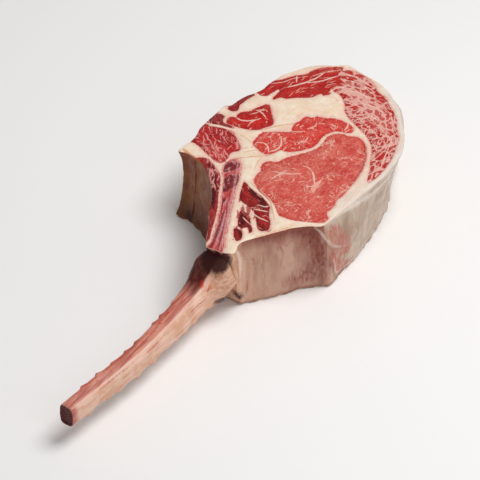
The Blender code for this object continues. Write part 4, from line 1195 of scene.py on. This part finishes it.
def meat_material(name, light, deep, strands, specks, network, stretch=FLAT_GRAIN, fat=MARBLE,
                  haze=0.12):
    """Meat with winding strands and a network, each by size, thickness and amount, and specks."""
    material, wire, shader = begin(name)
    flow = wire.stored("flow", "Vector")
    border = wire.stored("border")
    areas = wire.step(wire.noise(flow, 0.09, 3.0, 0.5), 0.34, 0.66)
    threads = wire.group(fibre, Flow=flow, Size=1.5)
    grain = wire.step(threads.outputs["Grain"], 0.3, 0.62)
    tone = wire.plus(wire.times(areas, 0.45), wire.times(grain, 0.55))
    tone = wire.times(tone, wire.times_plus(wire.step(border, 0.2, 3.5), 0.6, 0.4))
    colour = wire.blend(tone, deep, light)
    bundles = wire.mask(web, Flow=flow, Size=1.9, Stretch=(0.7, 1.0, 0.3), Thickness=0.12,
                        Amount=0.6)
    cloudy = streak_mask(wire, "raw", flow, 2.5, 4.0)
    colour = wire.tints(colour, (bundles, haze, fat), (cloudy, 0.16, fat))
    colour = paint_streaks(wire, colour, flow, ("dark", MAROON, 0.85, 0.9, 0.9))
    size, thickness, amount = strands
    marble = wire.mask(marbling, Flow=flow, Size=size, Stretch=stretch, Thickness=thickness,
                       Amount=amount)
    size, thickness, amount = network
    thickness = wire.times(thickness, wire.times_plus(cloudy, 0.45, 0.6))
    islands = wire.mask(web, Flow=flow, Size=size, Stretch=stretch, Thickness=thickness,
                        Amount=amount)
    speck_size, level = specks
    speck = wire.mask(flecks, Flow=flow, Size=speck_size, Stretch=(stretch[0] * 1.6, 1.0, 0.5),
                      Level=level)
    loose = torn(wire, wire.stored("strand"), flow, 0.25, 0.2)
    fat_share = loose
    for effect in (islands, marble, speck):
        fat_share = wire.math("MAXIMUM", fat_share, effect)
    creeping = torn(wire, wire.minus(-0.1, border), flow, 0.8, 0.25)
    colour = wire.tints(colour, (fat_share, 0.9, fat), (creeping, 0.8, fat))
    colour = paint_streaks(
        wire, colour, flow,
        ("pale", SEAM_WHITE, 0.92, 0.3, 0.25),
        ("amber", AMBER, 0.9, 0.2, 0.3))
    height = wire.plus(threads.outputs["Height"], wire.times(fat_share, 0.6))
    finish_surface(wire, shader, colour, height, flow, 0.34, 0.56, shine=0.2)
    return material


# Light and deep red, strands, specks (size, level), network, stretch, fat and haze.
finishes = {
    "eye_muscle": meat_material(
        "Eye meat", rgb(220, 96, 84), rgb(192, 54, 46), (9.0, 0.022, 0.5), (2.4, 0.67),
        (6.0, 0.05, 0.3), (0.6, 1.0, 0.3), rgb(242, 178, 160), haze=0.28),
    "inner_lobe": meat_material(
        "Inner lobe meat", rgb(226, 74, 64), rgb(194, 38, 34), (8.0, 0.022, 0.5), (2.4, 0.67),
        (5.0, 0.05, 0.3), (0.6, 1.0, 0.3), rgb(242, 176, 158), haze=0.2),
    "cap_muscle": meat_material(
        "Cap meat", rgb(200, 40, 36), rgb(164, 20, 22), (6.0, 0.03, 0.55), (3.2, 0.66),
        (6.5, 0.16, 0.8), (0.5, 1.0, 0.3), rgb(236, 180, 166), haze=0.16),
    "top_muscle": meat_material(
        "Top meat", rgb(200, 38, 32), rgb(156, 16, 18), (7.0, 0.026, 0.4), (2.4, 0.69),
        (5.5, 0.08, 0.32), (0.26, 1.0, 0.3), rgb(234, 158, 142), haze=0.08),
    "wedge_muscle": meat_material(
        "Wedge meat", rgb(206, 38, 32), rgb(160, 16, 18), (6.0, 0.024, 0.4), (2.2, 0.7),
        (5.0, 0.06, 0.26), haze=0.06),
    "back_muscle": meat_material(
        "Back meat", rgb(198, 36, 34), rgb(134, 12, 16), (5.0, 0.035, 0.5), (2.4, 0.67),
        (4.8, 0.11, 0.46), (0.28, 1.0, 0.3), rgb(230, 150, 142), haze=0.08),
    "back_slip": meat_material(
        "Back slip meat", rgb(168, 44, 46), rgb(112, 18, 22), (5.0, 0.04, 0.5), (2.6, 0.66),
        (4.0, 0.1, 0.45)),
    "chine_strip": meat_material(
        "Chine meat", rgb(184, 40, 42), rgb(112, 16, 20), (4.5, 0.04, 0.5), (2.6, 0.65),
        (4.4, 0.1, 0.45), (0.24, 1.0, 0.3), rgb(222, 152, 146)),
    "edge_strip": meat_material(
        "Edge meat", rgb(172, 34, 38), rgb(118, 14, 20), (5.0, 0.03, 0.4), (2.6, 0.68),
        (4.0, 0.05, 0.3)),
    "finger_meat_long": meat_material(
        "Finger meat", rgb(172, 24, 24), rgb(96, 8, 12), (5.0, 0.025, 0.36), (2.4, 0.7),
        (4.5, 0.07, 0.34), (0.3, 1.0, 0.3), rgb(226, 142, 128)),
}
finishes["finger_meat_middle"] = finishes["finger_meat_short"] = finishes["finger_meat_long"]
print("meat materials:", len(set(finishes.values())))

# %% [markdown]
# The fat between the muscles is firm and cream, with faint cloudy patches and sheets of membrane,
# and a painted highlight along the rim where it rolls over.
# The split rib shows marrow: dark red pockets between pink plates of bone with violet stripes.

# %% Fat and split bone
def fat_material():
    """Cream fat of the cut faces, pinker near the meat, with sheets of membrane and a painted
    highlight along the rolled rim.
    """
    material, wire, shader = begin("Cream fat")
    flow = wire.stored("flow", "Vector")
    border = wire.stored("border")
    clouds = wire.step(wire.noise(flow, 0.12, 4.0, 0.6), 0.35, 0.68)
    fine = wire.noise(flow, 1.1, 3.0)
    colour = wire.blend(clouds, rgb(245, 217, 186), rgb(250, 232, 210))
    thinner = wire.step(wire.times_plus(clouds, 2.5, border), 6.0, 1.5)
    sheets = wire.add("ShaderNodeCombineXYZ", {"X": wire.times(border, 1.3)}).outputs[0]
    sheets = wire.vector("ADD", sheets, wire.vector("MULTIPLY", flow, (0.05, 0.05, 0.05)))
    sheet = wire.from_middle(wire.noise(sheets, 1.0, 2.0, 0.5))
    sheet_areas = wire.step(wire.noise(flow, 0.08, 2.0), 0.42, 0.56)
    sheet = wire.times(wire.step(sheet, 0.035, 0.008), sheet_areas)
    haze = torn(wire, wire.minus(1.3, border), flow, 1.2, 1.0)
    blush = torn(wire, wire.minus(0.3, border), flow, 0.8, 0.25)
    colour = wire.tints(
        colour,
        (wire.step(fine, 0.45, 0.75), 0.35, rgb(250, 236, 222)),
        (thinner, 0.7, rgb(240, 206, 192)),
        # Painted highlight: a pale bluish white on the fat where it rolls over the rim.
        (wire.stored("rolled"), 0.7, rgb(230, 220, 212)),
        (sheet, 0.4, rgb(218, 138, 118)),
        (haze, 0.4, rgb(230, 150, 134)),
        (blush, 0.85, rgb(200, 74, 64)))
    colour = paint_streaks(
        wire, colour, flow,
        ("pale", rgb(246, 224, 202), 0.85, 0.5, 0.7),
        ("amber", rgb(216, 140, 84), 0.7, 0.4, 0.5),
        ("dark", rgb(164, 34, 34), 0.85, 1.1, 0.5))
    height = wire.plus(fine, wire.times(clouds, 0.6))
    wet = wire.times_plus(wire.stored("rolled"), 0.6, 0.1)
    finish_surface(wire, shader, colour, height, flow, 0.3, 0.52, 0.35, coat=wet)
    return material


def split_bone_material():
    """The rib where the saw opened it: plates of bone round pockets of marrow."""
    material, wire, shader = begin("Split bone")
    flow = wire.stored("flow", "Vector")
    sponge = wire.noise(flow, 1.6, 4.0, 0.3)
    colour = wire.blend(wire.step(sponge, 0.38, 0.62), rgb(172, 32, 36), rgb(222, 92, 88))
    plates = wire.mask(marbling, Flow=flow, Size=3.6, Stretch=(0.14, 1.0, 0.3), Thickness=0.06,
                       Amount=0.7)
    layers = wire.noise(wire.vector("MULTIPLY", flow, (0.06, 1.0, 0.3)), 0.9, 2.0)
    pocket = streak_mask(wire, "dark", flow, 0.6, 0.5)
    marrow = wire.blend(wire.step(sponge, 0.4, 0.66), rgb(88, 8, 16), rgb(158, 32, 40))
    colour = wire.tints(
        colour,
        (plates, 0.65, rgb(226, 160, 160)),
        (wire.step(layers, 0.53, 0.6), 0.7, rgb(122, 22, 32)),
        (pocket, 0.95, marrow))
    colour = paint_streaks(wire, colour, flow, ("violet", rgb(218, 164, 166), 0.65, 1.0, 0.8))
    rim = torn(wire, wire.minus(0.6, wire.stored("border")), flow, 0.6, 0.4)
    colour = wire.tint(colour, rim, 0.7, rgb(238, 196, 176))
    height = wire.minus(sponge, wire.times(pocket, 0.6))
    finish_surface(wire, shader, colour, height, flow, 0.28, 0.5, 0.6)
    return material


finishes["fat_body"] = fat_material()
finishes["rib_bone"] = split_bone_material()

# %% [markdown]
# ## The outer skin
#
# One material covers the whole outer wall and changes with the stored regions. The chine side was
# sawn and has dried to brown; its colour is also made darker as painted shade, most towards the
# foot. The chest side is a thin pink lining over fat, with upright veils and wrinkles. The rest is
# the ivory fat cover of the back, slightly grey and yellow in patches, painted lighter on the far
# side to offset its shade and with a painted highlight along its upper rim.

# %% Skin of the outer wall
def place_in_millimetres(wire):
    """The place on the part, as a vector in millimetres."""
    place = wire.vector("SCALE", wire.add("ShaderNodeTexCoord").outputs["Object"])
    place.node.inputs["Scale"].default_value = 1000.0
    return place


def skin_material():
    """The outer wall: ivory fat cover, chest lining, sawn spine side and tan neck."""
    material, wire, shader = begin("Outer skin")
    place = place_in_millimetres(wire)
    position = wire.add("ShaderNodeSeparateXYZ", {"Vector": place})
    height_up = position.outputs["Z"]
    veils = wire.vector("MULTIPLY", place, (1.0, 1.0, 0.3))
    broad = wire.noise(veils, 0.06, 3.0, 0.3)
    narrow = wire.noise(veils, 0.26, 3.0, 0.2)
    cloud = wire.noise(place, 0.05, 3.0, 0.5)
    mottle = wire.noise(place, 0.2, 4.0, 0.6)
    crease = wire.from_middle(wire.noise(veils, 0.08, 2.0, 0.3))
    crease = wire.step(crease, 0.02, 0.004)
    ivory = wire.blend(wire.step(cloud, 0.36, 0.62), rgb(170, 140, 116), rgb(198, 174, 150))
    cream = wire.blend(wire.step(cloud, 0.36, 0.62), rgb(230, 202, 174), rgb(248, 232, 212))
    bare = wire.times(wire.step(wire.stored("border"), 4.0, 0.5), wire.step(mottle, 0.3, 0.75))
    # Painted highlight: the top of the wall, where the fat cover rolls over, is painted whiter.
    shoulder_highlight = wire.step(wire.times_plus(cloud, 10.0, height_up), 56.0, 66.0)
    ivory = wire.tints(
        ivory,
        (wire.step(mottle, 0.5, 0.68), 0.45, rgb(206, 156, 136)),
        (wire.step(broad, 0.5, 0.7), 0.35, rgb(200, 184, 158)),
        # The far side takes a creamier fat, painted lighter to offset the shade that side lies in.
        (wire.step(position.outputs["Y"], -30.0, 10.0), 0.85, cream),
        (bare, 0.5, rgb(190, 104, 88)),
        (shoulder_highlight, 0.65, rgb(230, 216, 200)),
        (crease, 0.15, rgb(172, 126, 100)))
    lining = wire.blend(wire.step(broad, 0.34, 0.64), rgb(168, 112, 94), rgb(210, 166, 146))
    left_side = wire.step(position.outputs["X"], 8.0, -12.0)
    lining = wire.tints(
        lining,
        (wire.step(mottle, 0.48, 0.66), 0.45, rgb(192, 156, 138)),
        (wire.step(narrow, 0.42, 0.34), 0.25, rgb(160, 88, 74)),
        (crease, 0.25, rgb(140, 72, 56)),
        (left_side, 0.65, rgb(226, 186, 160)))
    # The lining turns darker and browner towards the upper rim.
    darker_near_rim = wire.times(wire.step(wire.times_plus(broad, 16.0, height_up), 50.0, 68.0), 0.8)
    lining = wire.blend(darker_near_rim, lining, rgb(140, 66, 50))
    # The sawn spine side: its own brown, made darker as painted shade because it faces away from
    # the main light, darker still towards the foot, and lighter and more amber at the top rim.
    sawn_and_shade = wire.blend(wire.step(cloud, 0.36, 0.64), rgb(130, 56, 22), rgb(146, 84, 34))
    veins = wire.from_middle(wire.noise(place, 0.11, 2.0, 0.8))
    sawn_and_shade = wire.tints(
        sawn_and_shade,
        (wire.step(mottle, 0.46, 0.7), 0.35, rgb(170, 112, 68)),
        (wire.step(veins, 0.02, 0.006), 0.3, rgb(188, 128, 92)),
        (wire.step(height_up, 34.0, 4.0), 0.55, rgb(58, 22, 8)),
        (wire.step(height_up, 51.0, 60.0), 0.5, rgb(168, 88, 52)))
    neck_tan = wire.blend(wire.step(narrow, 0.4, 0.6), rgb(204, 150, 120), rgb(228, 182, 154))
    colour = wire.blend(wire.stored("pleura"), ivory, lining)
    colour = wire.blend(wire.stored("neck"), colour, neck_tan)
    colour = wire.blend(wire.stored("chine"), colour, sawn_and_shade)
    veined = wire.times_plus(wire.step(wire.noise(veils, 0.5, 3.0, 1.0), 0.44, 0.58), 0.4, 0.45)
    flush = wire.blend(wire.stored("pleura"), rgb(186, 88, 74), rgb(130, 50, 38))
    colour = paint_streaks(wire, colour, veils, ("raw", flush, veined, 3.5, 4.0))
    foot = torn(wire, wire.minus(2.6, height_up), place, 1.2, 1.6)
    colour = wire.tint(colour, foot, 0.7, rgb(134, 80, 48))
    colour = paint_streaks(
        wire, colour, place,
        # Pale streaks: pale folds, plus painted highlights on the fat's rolled shoulder and the
        # neck's flank.
        ("pale", rgb(238, 222, 208), 0.6, 0.6, 1.0),
        ("amber", rgb(166, 80, 54), 0.7, 0.5, 0.7),
        # Dark streaks: dark meat at the neck, a dark patch at the foot of the spine side, and
        # painted shadow under the neck.
        ("dark", rgb(68, 8, 5), 1.0, 1.5, 2.4, 0.6))
    height = wire.plus(wire.times(narrow, 0.7), wire.times(mottle, 0.6))
    wet = wire.times_plus(wire.stored("rolled"), 0.5, 0.08)
    finish_surface(wire, shader, colour, height, place, 0.32, 0.56, 0.6, shine=0.25, coat=wet)
    return material


outer_skin = skin_material()

# %% [markdown]
# ## Scraped bone
#
# The handle keeps a pinkish skin of membrane with streaks along its length, redder on its narrow
# upper side, where small clots stick. That upper side and the far side are also darkened as painted
# shade, and a pale painted highlight runs along the near upper edge. At the neck it runs into dark
# meat with painted shadow beneath, and the sawn tip shows the red spongy core inside a pale rim.

# %% Bone of the handle
def rib_material():
    """The scraped handle, with its red upper side, dark neck and spongy tip.

    The upper and far sides are also darkened as painted shade, and the ridge takes a painted
    highlight.
    """
    material, wire, shader = begin("Scraped rib")
    place = place_in_millimetres(wire)
    drawn_out = wire.vector("MULTIPLY", place, (0.1, 1.0, 1.0))
    streaks = wire.noise(drawn_out, 0.42, 4.0, 0.4)
    thin = wire.noise(drawn_out, 1.1, 3.0, 0.3)
    clouds = wire.noise(place, 0.08, 3.0, 0.4)
    colour = wire.blend(wire.step(clouds, 0.38, 0.62), rgb(224, 170, 140), rgb(240, 198, 174))
    band = wire.blend(wire.step(streaks, 0.4, 0.62), rgb(170, 66, 52), rgb(208, 128, 108))
    tan = wire.blend(wire.step(streaks, 0.4, 0.62), rgb(206, 150, 120), rgb(230, 184, 154))
    ridge_highlight_share = wire.times_plus(wire.step(thin, 0.4, 0.6), -0.45, 0.85)
    liver = wire.blend(wire.step(streaks, 0.44, 0.6), rgb(60, 5, 5), rgb(96, 24, 18))
    colour = wire.tints(
        colour,
        (wire.step(streaks, 0.5, 0.64), 0.5, rgb(248, 216, 198)),
        (wire.step(streaks, 0.44, 0.34), 0.4, rgb(216, 128, 106)),
        (wire.step(thin, 0.6, 0.72), 0.3, rgb(200, 104, 88)),
        # The band: its own redder membrane, darkened as painted shade.
        (wire.stored("band"), 0.85, band),
        (wire.stored("neck"), 0.8, tan),
        # Painted highlight: a pale pinkish white along the near upper edge of the bone.
        (wire.stored("ridge"), ridge_highlight_share, rgb(240, 194, 180)),
        (wire.stored("tip_red"), 0.75, rgb(178, 54, 50)),
        (wire.stored("liver"), 0.95, liver))
    colour = paint_streaks(
        wire, colour, place,
        ("pale", rgb(186, 56, 48), 0.7, 0.6, 0.5),
        ("amber", rgb(222, 150, 96), 0.6, 1.2, 1.4),
        ("raw", rgb(196, 44, 34), 0.75, 1.2, 0.8),
        # Dark streaks: dark meat at the neck and painted shadow beneath it.
        ("dark", rgb(54, 8, 6), 0.97, 1.4, 2.4))
    sponge = wire.noise(place, 1.3, 4.0)
    marrow = wire.blend(wire.step(sponge, 0.4, 0.6), rgb(52, 16, 16), rgb(110, 40, 32))
    colour = wire.blend(wire.stored("core"), colour, marrow)
    height = wire.plus(streaks, wire.times(thin, 0.6))
    finish_surface(wire, shader, colour, height, place, 0.32, 0.52, 0.6, shine=0.25)
    return material


rib_finish = rib_material()

# %% [markdown]
# ## Dressing the frame
#
# Each fine piece now takes the place of its solid: it rides the steak's only body, hides the plain
# solid and takes two materials. The first material covers the cut faces and the second the outer
# wall.

# %% Put materials on and replace the solids
for name, piece in pieces.items():
    piece.data.materials.append(finishes[name])
    piece.data.materials.append(outer_skin)
    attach(piece, "root")
    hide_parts(name)
rib_handle.data.materials.append(rib_finish)
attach(rib_handle, "root")
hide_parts("rib_bone")
print("pieces:", len(pieces) + 1)

# %% [markdown]
# ## Table, light and camera
#
# A pale floor and soft light show the meat without distraction. The main light is a large panel
# above and to the camera's right, so the spine side falls into shade. A long lens from far away
# keeps the shape free of distortion, as in a shop's product picture.

# %% Floor and light
FLOOR_SIZE = 6.0
floor_mesh = bpy.data.meshes.new("floor")
corner = FLOOR_SIZE / 2
corners = [(-corner, -corner, 0), (corner, -corner, 0), (corner, corner, 0), (-corner, corner, 0)]
floor_mesh.from_pydata(corners, [], [(0, 1, 2, 3)])
floor = bpy.data.objects.new("floor", floor_mesh)
bpy.context.scene.collection.objects.link(floor)
floor_material, wire, shader = begin("Pale table")
table_tone = wire.noise(wire.add("ShaderNodeTexCoord").outputs["Object"], 3.0)
table_colour = wire.blend(table_tone, rgb(251, 250, 249), rgb(254, 253, 252))
wire.feed(shader.inputs["Base Color"], table_colour)
shader.inputs["Roughness"].default_value = 0.85
floor_mesh.materials.append(floor_material)

world = bpy.data.worlds.new("Soft studio")
world.use_nodes = True
background = world.node_tree.nodes["Background"]
background.inputs["Color"].default_value = (1.0, 0.99, 0.98, 1.0)
background.inputs["Strength"].default_value = 0.3
bpy.context.scene.world = world

TARGET = Vector((0.014571, -0.003374, 0.03))      # the drawing's zero at half height, in metres
CAMERA_BACK = Vector((-0.6232, -0.4047, 0.6691))  # direction from there to the camera
CAMERA_RIGHT = Vector((0.5446, -0.8387, 0.0))
CAMERA_DISTANCE = 2.4
CAMERA_LENS = 254.3       # focal length in millimetres


def panel_light(name, direction, distance, size, power):
    """A round light in this direction from the steak, turned towards it."""
    lamp = bpy.data.lights.new(name, "AREA")
    lamp.shape = "DISK"
    lamp.size = size
    lamp.energy = power
    holder = bpy.data.objects.new(name, lamp)
    direction = Vector(direction).normalized()
    holder.location = TARGET + direction * distance
    holder.rotation_euler = direction.to_track_quat("Z", "Y").to_euler()
    bpy.context.scene.collection.objects.link(holder)


above_right = CAMERA_RIGHT * 0.5 + Vector((0, 0, 1.35))
panel_light("main panel", above_right, distance=1.4, size=0.8, power=13)
panel_light("soft front", CAMERA_BACK + CAMERA_RIGHT * 0.5, distance=1.8, size=1.2, power=2.8)

# %% Camera and colour view
camera_data = bpy.data.cameras.new("camera")
camera_data.lens = CAMERA_LENS
camera_data.sensor_width = 36.0
camera_data.clip_end = 20.0
camera = bpy.data.objects.new("camera", camera_data)
camera.location = TARGET + CAMERA_BACK.normalized() * CAMERA_DISTANCE
camera.rotation_euler = CAMERA_BACK.to_track_quat("Z", "Y").to_euler()
bpy.context.scene.collection.objects.link(camera)
bpy.context.scene.camera = camera
bpy.context.scene.view_settings.view_transform = "Standard"
